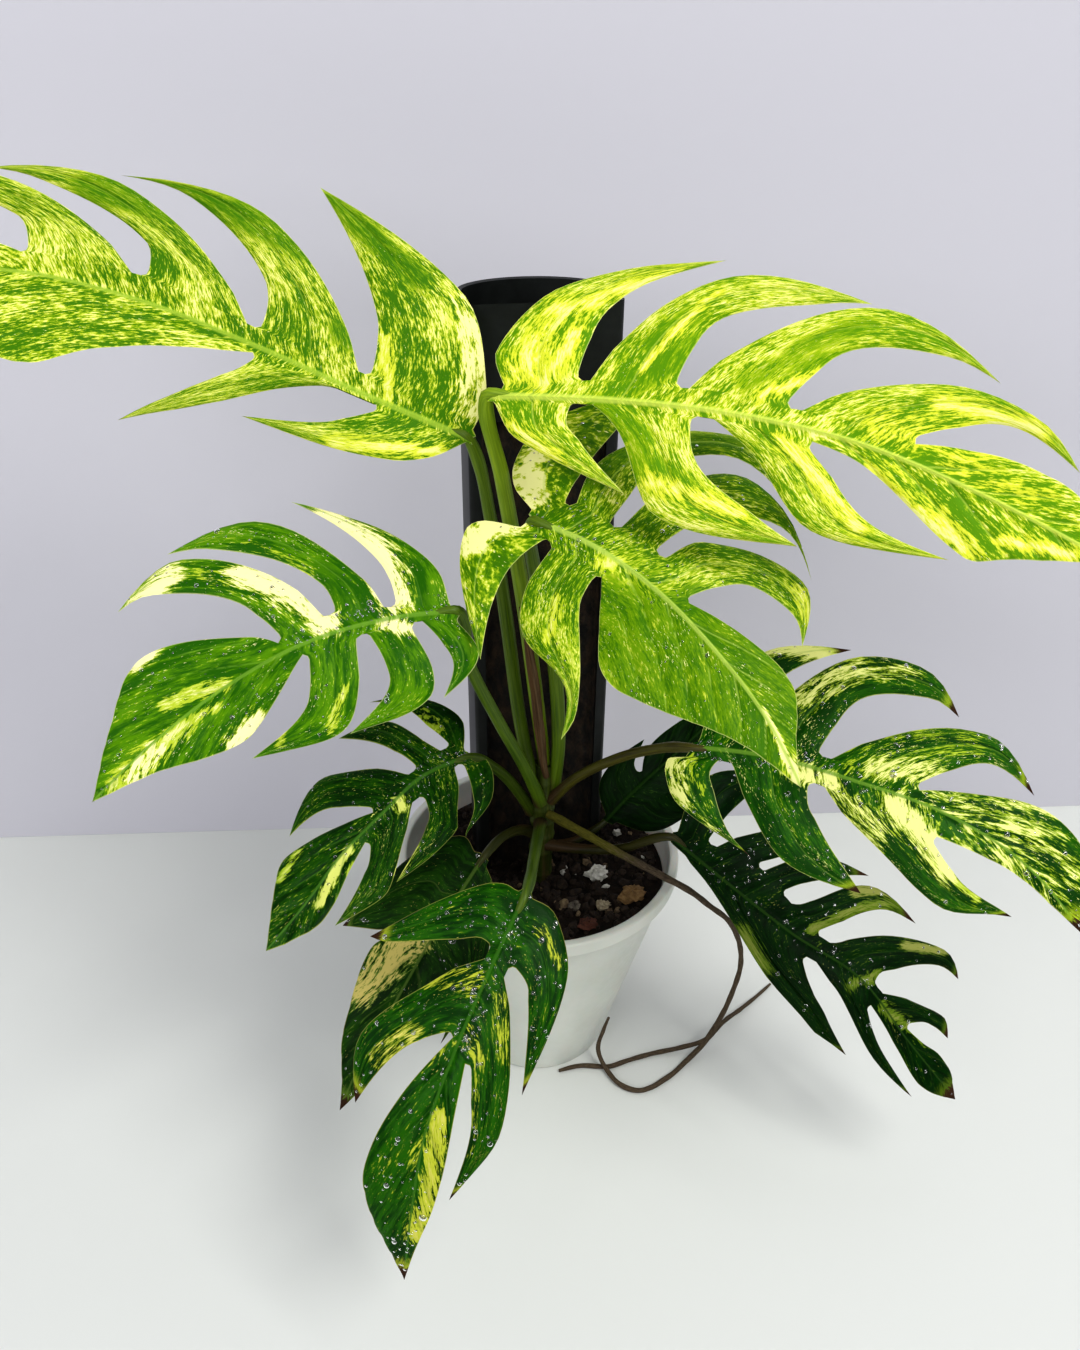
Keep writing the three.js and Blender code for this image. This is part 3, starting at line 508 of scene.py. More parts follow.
def pole_outline(margin, corner, steps=72):
    """The pole's section from its front left corner round to its front right one, grown by margin.

    Straight sides, an elliptical back, and front corners rounded with quarter circles.
    """
    half = pole_width / 2 + margin
    back = pole_depth - pole_side_depth + margin
    arc = np.linspace(0, np.pi, steps)
    rim = np.stack([-half * np.cos(arc), pole_side_depth + back * np.sin(arc)], -1)
    bend = np.linspace(0, np.pi / 2, 6)
    left = np.stack([-half + corner - corner * np.sin(bend), -margin + corner - corner * np.cos(bend)], -1)
    other = left[::-1] * [-1, 1]
    return np.concatenate([left, rim, other])


def stand(points):
    """Turns and moves flat pole points (..., 2) to their place over the pot."""
    x, y = points[..., 0], points[..., 1]
    return np.stack([x * np.cos(pole_turn) - y * np.sin(pole_turn) + pole_front[0],
                     x * np.sin(pole_turn) + y * np.cos(pole_turn) + pole_front[1]], -1)


def upright(outline, heights):
    """A wall of points: the closed outline repeated at each height, as (heights, outline, 3)."""
    flat = np.broadcast_to(stand(outline)[None], (len(heights), len(outline), 2))
    return np.concatenate([flat, np.broadcast_to(heights[:, None, None], flat.shape[:2] + (1,))], -1)


outer_line = pole_outline(0 * MM, pole_corner)
inner_line = pole_outline(-pole_wall, inner_corner)
lip_end = pole_width / 2 - pole_lip
channel = np.concatenate([
    [[-lip_end, 0]], outer_line, [[lip_end, 0], [lip_end, pole_wall]], inner_line[::-1],
    [[-lip_end, pole_wall]], [[-lip_end, 0]]])
channel_heights = np.array([pole_foot, pole_top - pole_band])
outer_loop = np.concatenate([outer_line, outer_line[:1]])
inner_loop = np.concatenate([inner_line, inner_line[:1]])
band_heights = np.array([pole_top - pole_band, pole_top - pole_bevel, pole_top])
half_wall = len(channel) // 2
channel_ends = [np.stack([upright(channel[:half_wall], np.array([z]))[0],
                          upright(channel[::-1][:half_wall], np.array([z]))[0]]) for z in channel_heights]
band_outer = upright(outer_loop, band_heights)
band_inner = upright(inner_loop, band_heights[:2])
band_lid = np.stack([band_outer[-1], band_inner[-1]])
band_floor = np.stack([band_outer[0], band_inner[0]])
channel_mesh = weld([
    (upright(channel, channel_heights), True), (channel_ends[0], True), (channel_ends[1], False)])
band_mesh = weld([(band_outer, True), (band_inner, False), (band_lid, True), (band_floor, False)])

pole_material = clouded_material(
    "black_pole_plastic", 0.42, ((0.006, 0.007, 0.0065, 1), (0.017, 0.02, 0.019, 1)), (35.0, 6.0, 0.7),
    (0.4, 0.8), (0.12, 0.0002), ("ShaderNodeTexNoise", {"Scale": 900.0, "Detail": 2.0}),
    Specular_IOR_Level=0.25)[0]
for pole_name, (points, faces) in (("pole_channel", channel_mesh), ("pole_band", band_mesh)):
    piece = mesh_piece(pole_name, points, faces, pole_material, crease=35)
    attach(piece, "root")
    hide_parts("grow_pole")

# The filling of the pole: coarse brown moss and bark fibre packed into the channel, and rough where the open
# front shows it.
fill_top = 402 * MM
fill_clearance = 0.4 * MM
fill_sink = 1.6
fill_calm = 3
fill_rings = 190
lid_rings = 26
lid_rough = 1.8 * MM
fill_line = pole_outline(-pole_wall - fill_clearance, inner_corner)
front_steps = np.linspace(0, 1, 60)[1:-1, None]
fill_front = fill_line[-1] * (1 - front_steps) + fill_line[0] * front_steps
fill_loop = np.concatenate([fill_line, fill_front, fill_line[:1]])
fill_heights = np.linspace(pole_foot, fill_top, fill_rings)
fill_wall = upright(fill_loop, fill_heights)
u_fill, z_fill = np.broadcast_arrays(np.arange(len(fill_loop))[None] * 1.1 * MM, fill_heights[:, None])
fill_rough = 1.3 * value_noise(u_fill, z_fill, 7 * MM, 9) + 0.9 * value_noise(u_fill, z_fill, 3 * MM, 10)
in_front = np.zeros(len(fill_loop))
in_front[len(fill_line) + fill_calm:-fill_calm - 1] = 1
fill_push = (fill_rough - fill_sink) * in_front * MM
fill_wall[..., 0] += fill_push * np.sin(pole_turn)
fill_wall[..., 1] -= fill_push * np.cos(pole_turn)
fill_middle = stand(np.array([0, pole_side_depth * 0.9]))
shrink = np.linspace(1, 0, lid_rings)[:, None, None]
fill_lid = fill_wall[-1][None] * shrink + np.append(fill_middle, fill_top) * (1 - shrink)
lid_lumps = value_noise(fill_lid[..., 0], fill_lid[..., 1], 5 * MM, 12)
fill_lid[..., 2] += lid_rough * lid_lumps * (1 - shrink[..., 0])
fill_lid[-1] = fill_lid[-1, 0]
floor_shrink = shrink[[0, -1]]
fill_floor = fill_wall[0][None] * floor_shrink + np.append(fill_middle, pole_foot) * (1 - floor_shrink)
fill_points, fill_faces = weld([(fill_wall, True), (fill_lid, True), (fill_floor, False)])

moss_material = clouded_material(
    "pole_moss", 0.95, ((0.003, 0.002, 0.0015, 1), (0.05, 0.027, 0.012, 1)), (190.0, 9.0, 0.72), (0.42, 0.74),
    (0.9, 0.0015), stretch=(1.0, 1.0, 0.45))[0]
moss = mesh_piece("pole_moss_fill", fill_points, fill_faces, moss_material)
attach(moss, "root")
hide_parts("pole_moss")

# The stem: a stout green vine in front of the pole, ringed by the scars of old leaves. Every stalk and aerial
# root grows out of it.
stem_course = np.array([[0, -9, 84], [1, -9, 125], [2, -10, 165], [3, -10, 206]]) * MM
stem_radii = np.array([6, 6.5, 6.5, 5.5]) * MM
stem_rings = np.array([112, 131, 147, 158, 168, 177, 186, 195]) * MM
ring_height = 0.09
ring_width = 1.6 * MM
tube_shoulder = 0.75


def distances_of(points):
    """How far each point is from the first, along the straight joins between them."""
    return np.concatenate([[0], np.cumsum(np.linalg.norm(np.diff(points, axis=0), axis=1))])


def along(points, distance):
    """A smooth course through points, read by distance along the straight joins between them.

    Cubic Hermite pieces with the slope at each point taken from its two neighbours. Past either end it goes
    straight on. Gives the places and the unit headings.
    """
    knots = distances_of(points)
    gaps = np.diff(knots)[:, None]
    rates = np.diff(points, axis=0) / gaps
    slopes = np.zeros_like(points)
    slopes[1:-1] = (points[2:] - points[:-2]) / (gaps[1:] + gaps[:-1])
    slopes[0] = 1.5 * rates[0] - 0.5 * slopes[1]
    slopes[-1] = 1.5 * rates[-1] - 0.5 * slopes[-2]
    held = np.clip(distance, 0, knots[-1])
    i = np.clip(np.searchsorted(knots, held, side="right") - 1, 0, len(points) - 2)
    span = gaps[i]
    t = (held - knots[i])[..., None] / span
    place = ((2 * t ** 3 - 3 * t ** 2 + 1) * points[i] + span * (t ** 3 - 2 * t ** 2 + t) * slopes[i]
             + (3 * t ** 2 - 2 * t ** 3) * points[i + 1] + span * (t ** 3 - t ** 2) * slopes[i + 1])
    heading = unit((6 * t - 6 * t ** 2) / span * (points[i + 1] - points[i])
                   + (3 * t ** 2 - 4 * t + 1) * slopes[i] + (3 * t ** 2 - 2 * t) * slopes[i + 1])
    return place + heading * (distance - held)[..., None], heading


def length_of(points):
    """The summed length of the straight joins between points."""
    return np.linalg.norm(np.diff(points, axis=0), axis=1).sum()


def tube(points, radii, steps, sides, swell):
    """A closed tube: rings of radius r(s) (1 + swell(s, angle)) about a course, drawn to a point at each end.

    Gives the grid with two more values a point, the distance along in millimetres and the angle.
    """
    whole = length_of(points)
    s = np.concatenate([[0, 0], np.linspace(0, whole, steps), [whole, whole]])
    cap = np.ones(len(s))
    cap[[0, -1]] = 0
    cap[[1, -2]] = tube_shoulder
    place, heading = along(points, s)
    reference = np.array([0.31, 0.22, 0.05]) + np.roll(np.abs(points[-1] - points[0]), 1)
    side = unit(np.cross(heading, reference))
    other = np.cross(heading, side)
    turn = full_turn(sides)
    radius = np.interp(s, distances_of(points), radii)[:, None] * (1 + swell(s[:, None], turn[None]))
    radius = radius * cap[:, None]
    grid = (place[:, None] + radius[..., None] * (np.cos(turn)[None, :, None] * side[:, None]
                                                 + np.sin(turn)[None, :, None] * other[:, None]))
    distance, angle = np.broadcast_arrays(s[:, None] / MM, turn[None])
    return np.concatenate([grid, distance[..., None], angle[..., None]], -1)


def calculate(tree, operation, *terms):
    """A math node on plain values or sockets."""
    node = add_node(tree, "ShaderNodeMath", operation=operation)
    for index, term in enumerate(terms):
        if isinstance(term, (int, float)):
            node.inputs[index].default_value = term
        else:
            tree.links.new(term, node.inputs[index])
    return node.outputs["Value"]


def streaked_skin_group():
    """Green skin that turns woody, as a node group: streaks of noise mix two young tones and two old ones.

    The point value old_part, from 0 to 1, lays the old tones over the young ones. Streak frays the border.
    """
    tones = ("Young Dark", "Young Light", "Old Dark", "Old Light")
    group, given, result = new_group(
        "streaked_skin", {"Vector": "Vector", "Streak": "Float", **dict.fromkeys(tones, "Color")},
        {"Colour": "Color", "Cloud": "Float"})
    noise = add_node(group, "ShaderNodeTexNoise", {"Scale": 6.0, "Detail": 5.0, "Roughness": 0.6})
    share = add_node(group, "ShaderNodeMapRange", {"From Min": 0.36, "From Max": 0.64})
    age = add_node(group, "ShaderNodeAttribute", attribute_name="old_part")
    border = add_node(group, "ShaderNodeMapRange", {"From Min": 0.4, "From Max": 0.6})
    cloud = noise.outputs["Fac"]
    frayed = calculate(group, "MULTIPLY_ADD", calculate(group, "SUBTRACT", cloud, 0.5), given["Streak"],
                       age.outputs["Fac"])
    young = lay_colour(group, given["Young Dark"], given["Young Light"], share.outputs["Result"])
    old = lay_colour(group, given["Old Dark"], given["Old Light"], share.outputs["Result"])
    join(group, (given["Vector"], noise.inputs["Vector"]), (cloud, share.inputs["Value"]),
         (cloud, result["Cloud"]), (frayed, border.inputs["Value"]),
         (lay_colour(group, young, old, border.outputs["Result"]), result["Colour"]))
    return group


streaked_skin = streaked_skin_group()


def bark_material(name, young, old, streak, roughness, grain=(0.05, 0.5)):
    """Green or woody skin on a tube: two young and two old tones in streaks, and a bump that follows them.

    grain is how tight the streaks are along the tube and round it.
    """
    made, shader = new_material(name, roughness, Specular_IOR_Level=0.25)
    tree = made.node_tree
    uv = add_node(tree, "ShaderNodeUVMap", uv_map="vein_map")
    stretch = add_node(tree, "ShaderNodeMapping", {"Scale": (*grain, 1.0)})
    skin = add_node(tree, "ShaderNodeGroup", {
        "Young Dark": young[0], "Young Light": young[1], "Old Dark": old[0], "Old Light": old[1],
        "Streak": streak}, node_tree=streaked_skin)
    bump = add_node(tree, "ShaderNodeBump", {"Strength": 0.35, "Distance": 0.0005})
    join(tree, (uv.outputs["UV"], stretch.inputs["Vector"]),
         (stretch.outputs["Vector"], skin.inputs["Vector"]),
         (skin.outputs["Colour"], shader.inputs["Base Color"]),
         (skin.outputs["Cloud"], bump.inputs["Height"]), (bump.outputs["Normal"], shader.inputs["Normal"]))
    return made


def tube_piece(name, grid, material, old_part):
    """A tube grid as an object, its map being (distance in cm, angle) and old_part its share of old skin."""
    points, faces = weld([(grid, False)])
    uv = np.stack([points[:, 3] / 10, points[:, 4]], -1)
    share = np.clip(old_part(points[:, 3], points[:, 4]), 0, 1)
    return mesh_piece(name, points[:, :3], faces, material, uv, {"old_part": share}, crease=70)


def stem_swell(s, turn):
    """Rings ring_height of the radius proud at the scars, and a slight fluting."""
    gap = stem_course[0, 2] + s[..., None] - stem_rings
    return ring_height * np.exp(-(gap / ring_width) ** 2).sum(-1) + 0.03 * np.sin(3 * turn + s / (9 * MM))


stem_material = bark_material(
    "green_stem", ((0.035, 0.055, 0.006, 1), (0.075, 0.10, 0.012, 1)),
    ((0.05, 0.03, 0.012, 1), (0.10, 0.065, 0.03, 1)), 0.7, 0.45)
stem = tube_piece("vine_stem", tube(stem_course, stem_radii, 130, 40, stem_swell), stem_material,
                  lambda s, turn: 0.42 - s / 260 + 0.3 * np.cos(turn * 2))
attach(stem, "root")
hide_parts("stem")

# The leaves: ten glossy blades split into strap-like lobes, each on a grooved green stalk that leaves the
# stem. Their cream and yellow variegation runs out along the side veins. Leaf sizes are in millimetres.
blade_half_thickness = 0.35
blade_edge_width = 1.1
rib_rise = 0.45
rib_rise_width = 1.3
rib_keel = 1.5
rib_keel_width = 2.0
rib_slimming = 0.7
rib_paling = 0.56
station_step = 2.0
web_rows = 18
free_rows = 22
foot_spacing = 6
foot_merge = 4
foot_lean = 0.5
end_vein_lean = 2.0
end_vein_beat = 20.0
end_vein_onset = 12.0
stalk_tuck = 14.0
stalk_sink = np.array([[1.9], [2.0]])
stalk_end_radius = 1.1
knee_before_end = 24
gap_bottom_radius = 2.2
slow_waves = ((1.1, 33, 0), (0.45, 14, 50))
wave_onset = 12
vein_groove = 0.7
vein_groove_width = 1.5
rib_calm_width = 2.5
rib_valley = 0.55
rib_valley_reach = 2.6
lobe_droop = 0.05
margin_droop = 0.5
tip_dips = (-0.8, 3.2)
tiny = 1e-6


def tone(red, green, blue):
    """A screen colour of 0 to 255 as the linear colour that the shaders take."""
    share = np.array([red, green, blue]) / 255
    linear = np.where(share <= 0.04045, share / 12.92, ((share + 0.055) / 1.055) ** 2.4)
    return (*linear.tolist(), 1)


# Each leaf is flat in its own table, in millimetres: x runs along the midrib from the stalk, and y out from
# it. A lobe is the gap behind it, points on its back edge, its tip, and points on its front edge. "end" runs
# from the last gap to the leaf's tip. A stroke of colour is (x, y, x, y, half width), with y below 0 on the
# right, and a sixth number below 1 where the stroke is broken up. Tones are screen colours from 0 to 255.
# What a leaf leaves out is filled in with the usual value below the table.
leaves = {
    "a": dict(
        rib=[(-31, -31, 391), (-77, -24, 408), (-123, -16, 426), (-170, -12, 443), (-218, -17, 455),
             (-265, -35, 456)],
        face=(0.15, -0.8, 0.6), lift=(10, 20), curl=(1, 5),
        left=dict(lobes=[
            ((-2, 2), [(26, 22)], (90, 31), [(58, 18)]),
            ((42, 2), [(67, 4), (110, 36)], (138, 53), [(105, 17)]),
        ], end=[(98, 3), (156, 26), (186, 40), (229, 31)]),
        right=dict(lobes=[
            ((-2, 2), [(1, 22), (24, 54)], (96, 70), [(55, 31)]),
            ((51, 8), [(108, 50)], (165, 46), [(139, 46), (103, 26)]),
            ((101, 7), [(160, 42)], (205, 39), [(190, 37), (152, 24)]),
            ((150, 10), [(201, 36)], (231, 32), [(197, 22)]),
        ], end=[(195, 8), (215, 13), (230, 12), (238, 9)]),
        stalk=[(-3, -11, 194), (-10, -14, 235), (-17, -17, 300), (-23, -23, 350), (-31, -31, 389)],
        stalk_radii=[3.2, 3.5, 3.4, 3, 2.6],
        strokes=dict(
            cream=[(21, -52, 6, -28, 6, 0.4), (6, -28, 2, -12, 7, 0.2)],
            yellow=[(49, -26, 38, -2, 3), (9, 11, 52, 26, 4)],
            dark=[(61, -17, 68, -20, 4), (95, -47, 121, -48, 7), (135, -44, 173, -37, 6),
                  (90, -66, 43, -52, 4)]),
        green=(132, 168, 10), deep=(66, 118, 4), yellow=(208, 216, 54), cream=(242, 240, 160),
        rib_tone=(156, 186, 60), stalk_tone=((66, 92, 6), (100, 124, 18)), streaks=0.52, flecks=0.7,
        gloss=0.45, grain=0.9, rib_width=1.7),
    "b": dict(
        rib=[(-23, -55, 417), (23, -68, 420), (68, -82, 420), (113, -99, 415), (154, -121, 404),
             (191, -148, 391)],
        face=(-0.1, -0.85, 0.5), curl=(15, 15),
        left=dict(lobes=[
            ((6, 2), [(3, 19), (25, 44)], (84, 58), [(45, 36)]),
            ((39, 7), [(84, 51)], (133, 51), [(121, 48), (85, 34)]),
            ((77, 7), [(133, 50)], (178, 39), [(160, 41), (130, 31)]),
            ((118, 6), [(164, 32), (194, 33)], (214, 22), [(185, 26)]),
        ], end=[(163, 7), (178, 12), (198, 16), (220, 14)]),
        right=dict(lobes=[
            ((1, 2), [(15, 17)], (61, 35), [(36, 11)]),
            ((38, 2), [(54, 10), (75, 42)], (137, 42), [(118, 36), (89, 21)]),
            ((85, 3), [(104, 10), (139, 35)], (193, 25), [(157, 24)]),
        ], end=[(129, 4), (150, 7), (197, 22), (212, 15)]),
        stalk=[(3, -10, 204), (-1, -18, 245), (-9, -30, 320), (-17, -42, 378), (-22, -53, 414)],
        stalk_radii=[3.2, 3.7, 3.7, 3.4, 2.8],
        strokes=dict(
            yellow=[(14, 8, 27, 34, 7), (27, 34, 69, 51, 4), (24, 5, 34, 26, 5), (61, 12, 84, 46, 2),
                    (164, 24, 196, 29, 5), (71, -29, 110, -36, 4), (154, -11, 195, -20, 7),
                    (205, -11, 227, -4, 3), (117, -6, 159, -29, 4), (11, -11, 33, -24, 3),
                    (106, 8, 124, 20, 3), (150, 8, 188, 19, 6, 0.3), (178, 5, 210, 8, 4, 0.2)],
            dark=[(63, 22, 79, 37, 3), (115, 28, 134, 43, 3), (47, -4, 65, -14, 4), (60, 8, 96, 34, 4, 0.3),
                  (60, -20, 96, -34, 4, 0.3), (100, 14, 140, 32, 4, 0.2)]),
        green=(160, 190, 13), deep=(92, 142, 6), yellow=(216, 222, 56), cream=(246, 243, 168),
        rib_tone=(200, 218, 90), stalk_tone=((100, 130, 10), (136, 160, 28)), streaks=0.515, flecks=0.72,
        gloss=0.45, grain=0.9, rib_width=1.7),
    "c": dict(
        rib=[(-4, -70, 371), (21, -87, 367), (44, -106, 358), (64, -127, 345), (81, -148, 330),
             (93, -171, 313)],
        face=(0, -0.6, 0.8), tip_face=(0.1, -0.55, 0.83), lift=(0, -10), curl=(15, 40),
        left=dict(lobes=[
            ((-3, 2), [(-24, 22), (-25, 53)], (6, 86), [(5, 31)]),
            ((10, 13), [(11, 48), (40, 88)], (72, 70), [(44, 76), (27, 47)]),
            ((31, 12), [(49, 69)], (92, 54), [(71, 61), (53, 41)]),
            ((52, 13), [(60, 31), (91, 51)], (111, 30), [(99, 37), (80, 29)]),
        ], end=[(74, 6), (96, 13), (119, 17), (140, 6)]),
        right=dict(lobes=[
            ((-2, 2), [(-27, 14)], (4, 61), [(0, 23)]),
            ((12, 6), [(18, 43), (62, 52)], (81, 67), [(77, 56), (42, 25)]),
        ], end=[(41, 9), (66, 35), (85, 37), (146, 5)]),
        stalk=[(8, -11, 191), (10, -16, 225), (6, -28, 286), (-3, -46, 337), (-5, -68, 368)],
        stalk_radii=[3.2, 3.6, 3.6, 3.2, 2.6],
        strokes=dict(
            cream=[(-25, -12, -4, -3, 4), (-22, -20, -12, -7, 5), (-18, 15, -19, 33, 6, 0.4),
                   (-6, 8, -13, 22, 6, 0.4), (124, 1, 154, -1, 1.3), (145, 1, 154, -1, 2)],
            yellow=[(29, -26, 38, -41, 3), (93, 46, 105, 41, 4), (37, -5, 43, 0, 3)],
            dark=[(95, 8, 117, 13, 4), (18, 54, 40, 85, 3), (13, 48, 11, 27, 4), (64, -18, 122, -12, 18, 0.5),
                  (76, 8, 128, 8, 8, 0.5)]),
        green=(120, 158, 7), deep=(64, 112, 3), yellow=(200, 212, 54), cream=(236, 234, 156),
        rib_tone=(180, 206, 90), stalk_tone=((62, 88, 6), (98, 122, 20)), streaks=0.555, flecks=0.66,
        gloss=0.4, grain=0.8, rib_width=1.5),
    "d": dict(
        rib=[(-34, -80, 334), (-67, -82, 330), (-99, -91, 323), (-128, -105, 311), (-153, -123, 297),
             (-175, -143, 281)],
        face=(0.1, -0.7, 0.7),
        left=dict(lobes=[
            ((0, 2), [(-7, 20)], (9, 36), [(4, 20)]),
            ((19, 3), [(15, 35)], (62, 42), [(35, 27)]),
            ((42, 4), [(62, 39)], (111, 30), [(77, 24)]),
        ], end=[(68, 4), (103, 22), (122, 20), (146, 9)]),
        right=dict(lobes=[
            ((1, 2), [(12, 25)], (53, 66), [(29, 25)]),
            ((28, 5), [(35, 18), (65, 62)], (93, 67), [(82, 60), (53, 25)]),
            ((52, 8), [(90, 61)], (116, 56), [(105, 54), (81, 29)]),
        ], end=[(75, 5), (83, 13), (120, 31), (146, 16)]),
        stalk=[(1, -15, 183), (-7, -27, 214), (-20, -45, 256), (-32, -64, 300), (-34, -78, 331)],
        stalk_radii=[3.4, 3.2, 3, 2.8, 2.4],
        strokes=dict(
            cream=[(26, -8, 32, -34, 6), (32, -34, 45, -55, 5), (54, -5, 61, -19, 5), (61, -19, 76, -41, 5),
                   (31, 2, 20, 6, 3), (96, -56, 108, -53, 5), (114, 21, 97, 19, 3.5),
                   (154, 4, 138, 3, 3, 0.3), (123, -30, 117, -30, 3)],
            yellow=[(54, -28, 69, -52, 2, 0.0), (80, 15, 97, 32, 2), (56, 24, 73, 39, 2), (136, 2, 109, 4, 2),
                    (124, -9, 101, -1, 3, 0.6), (158, 3, 126, 3, 5, 0.7), (66, -24, 88, -50, 3, 0.2),
                    (22, -2, 25, -7, 2)],
            dark=[(14, 3, 17, -24, 3), (40, -5, 50, -30, 4)]),
        green=(84, 134, 3), deep=(38, 92, 2), yellow=(178, 196, 52), cream=(244, 238, 172),
        rib_tone=(112, 156, 50), stalk_tone=((56, 84, 8), (94, 120, 24)), streaks=0.66, flecks=0.68,
        gloss=0.38, grain=0.3, rib_width=1.3),
    "e": dict(
        rib=[(-33, -55, 242), (-55, -68, 239), (-72, -86, 231), (-88, -105, 223), (-101, -127, 214),
             (-115, -148, 206)],
        face=(-0.1, -0.6, 0.8),
        left=dict(lobes=[
            ((0, 2), [(-8, 4), (0, 25)], (30, 36), [(9, 25)]),
            ((7, 2), [(12, 14), (30, 30)], (72, 27), [(41, 18)]),
            ((34, 7), [(45, 11), (80, 27)], (106, 16), [(78, 13)]),
        ], end=[(67, 4), (80, 7), (107, 11), (119, 7)]),
        right=dict(lobes=[
            ((0, 2), [(-3, 25)], (23, 52), [(15, 38)]),
            ((9, 8), [(16, 18), (23, 37)], (36, 47), [(28, 24)]),
            ((27, 5), [(55, 36)], (82, 28), [(65, 22)]),
        ], end=[(54, 4), (80, 17), (92, 22), (104, 18)]),
        stalk=[(-4, -11, 174), (-13, -22, 199), (-23, -38, 223), (-31, -53, 240)],
        stalk_radii=[3.2, 3, 2.6, 2.2],
        strokes=dict(
            cream=[(103, 5, 75, 1, 2), (68, 25, 55, 22, 2), (42, 2, 43, 4, 3)],
            yellow=[(35, -22, 38, -35, 3), (86, -18, 102, -17, 2), (79, 8, 96, 14, 2), (8, -18, 12, -31, 2)]),
        green=(28, 74, 2), deep=(8, 42, 2), yellow=(148, 172, 44), cream=(208, 214, 112),
        rib_tone=(70, 116, 34), stalk_tone=((46, 68, 6), (80, 100, 20)), streaks=0.65, flecks=0.67,
        gloss=0.36, grain=0.5, rib_width=1.2),
    "f": dict(
        rib=[(-5, -120, 215), (-20, -146, 195), (-34, -171, 173), (-46, -192, 146), (-52, -206, 113),
             (-56, -215, 78)],
        face=(-0.1, -0.8, 0.6),
        left=dict(lobes=[
            ((-1, 2), [(2, 15), (25, 32)], (79, 33), [(39, 19)]),
            ((33, 7), [(95, 30)], (136, 15), [(102, 18)]),
        ], end=[(76, 6), (113, 11), (140, 9), (166, 3)]),
        right=dict(lobes=[
            ((-1, 2), [(0, 12), (14, 29)], (45, 55), [(44, 47), (28, 11)]),
            ((30, 4), [(51, 21), (82, 41)], (107, 33), [(79, 20)]),
        ], end=[(68, 3), (98, 15), (130, 23), (150, 18)]),
        stalk=[(1, -16, 169), (0, -42, 184), (-2, -80, 200), (-4, -117, 213)],
        stalk_radii=[3.2, 3, 2.8, 2.4],
        strokes=dict(
            cream=[(88, -30, 72, -20, 3, -0.15)],
            yellow=[(48, -24, 44, -4, 5, 0.1), (101, 4, 130, 7, 4, 0.6), (130, 7, 155, 4, 5, 0.7),
                    (63, 3, 72, 10, 3, 0.3), (12, 12, 22, 27, 2.5, 0.0), (112, -1, 128, -3, 2, 0.0),
                    (46, 9, 68, 21, 3, 0.1), (72, -6, 90, -22, 4, -0.1), (80, 12, 110, 18, 3, -0.15)]),
        green=(34, 88, 3), deep=(8, 50, 2), yellow=(176, 184, 54), cream=(204, 196, 104),
        rib_tone=(58, 106, 30), stalk_tone=((46, 70, 6), (84, 106, 26)), streaks=0.69, flecks=0.68, burn=1,
        gloss=0.3, grain=0.25, rib_width=1.1),
    "g": dict(
        rib=[(-27, -60, 184), (-42, -78, 168), (-56, -96, 152), (-69, -114, 136), (-83, -130, 117),
             (-94, -144, 96)],
        face=(-0.1, -0.75, 0.65),
        left=dict(lobes=[
            ((1, 3), [(11, 13), (48, 30)], (88, 29), [(71, 25)]),
        ], end=[(62, 18), (72, 14), (93, 13), (119, 8)]),
        right=dict(lobes=[
            ((0, 3), [(-3, 15), (17, 31)], (64, 43), [(58, 27)]),
        ], end=[(53, 12), (66, 24), (105, 16), (127, 5)]),
        stalk=[(-4, -12, 160), (-10, -24, 171), (-19, -44, 182), (-26, -59, 184)],
        stalk_radii=[3, 2.8, 2.4, 2.2],
        strokes=dict(
            cream=[(87, -18, 60, -11, 7, 0.4), (67, -18, 54, -3, 5, 0.2)]),
        green=(28, 66, 5), deep=(12, 38, 4), yellow=(104, 130, 50), cream=(186, 172, 100),
        rib_tone=(80, 104, 44), stalk_tone=((38, 44, 8), (66, 66, 22)), streaks=0.66, flecks=0.7, burn=1,
        gloss=0.4, grain=0.2, rib_width=1.1),
    "h": dict(
        rib=[(64, -94, 276), (98, -105, 279), (131, -119, 277), (163, -134, 273), (192, -150, 261),
             (214, -168, 240)],
        face=(0, -0.7, 0.7),
        left=dict(lobes=[
            ((2, 2), [(24, 46)], (54, 58), [(33, 36)]),
            ((27, 7), [(54, 53), (84, 59)], (100, 42), [(89, 46), (63, 36)]),
            ((56, 6), [(110, 40)], (133, 27), [(114, 28)]),
        ], end=[(96, 5), (116, 14), (140, 24), (164, 19)]),
        right=dict(lobes=[
            ((1, 2), [(-9, 6), (-2, 25)], (36, 43), [(21, 33), (12, 12)]),
            ((17, 5), [(49, 39)], (87, 43), [(59, 18)]),
            ((56, 6), [(121, 34)], (156, 18), [(128, 21)]),
        ], end=[(109, 10), (125, 8), (146, 5), (162, 3)]),
        stalk=[(7, -14, 184), (20, -26, 208), (40, -52, 240), (56, -78, 264), (63, -92, 274)],
        stalk_radii=[3, 2.8, 2.6, 2.4, 2.2],
        strokes=dict(
            cream=[(45, -3, 62, -5, 4, 0.2), (62, -7, 84, -19, 5, 0.0), (88, -4, 120, -19, 5),
                   (-6, -4, -1, -23, 4, 0.3), (4, -27, 19, -38, 2, -0.2), (27, 50, 47, 53, 4),
                   (119, -9, 155, -3, 3, -0.2), (100, 4, 140, 19, 5, -0.2), (120, 3, 160, 14, 5, -0.2),
                   (143, -3, 162, 1, 3, -0.2), (78, 8, 98, 14, 4, 0.1), (40, 28, 60, 49, 4, 0.0),
                   (60, 49, 78, 54, 3, 0.0)],
            yellow=[(2, -6, 7, -18, 3, 0.2), (70, 8, 104, 32, 6, -0.1), (36, 26, 56, 50, 7, -0.1),
                    (111, -20, 138, -23, 2), (96, -6, 160, 8, 9, -0.2)],
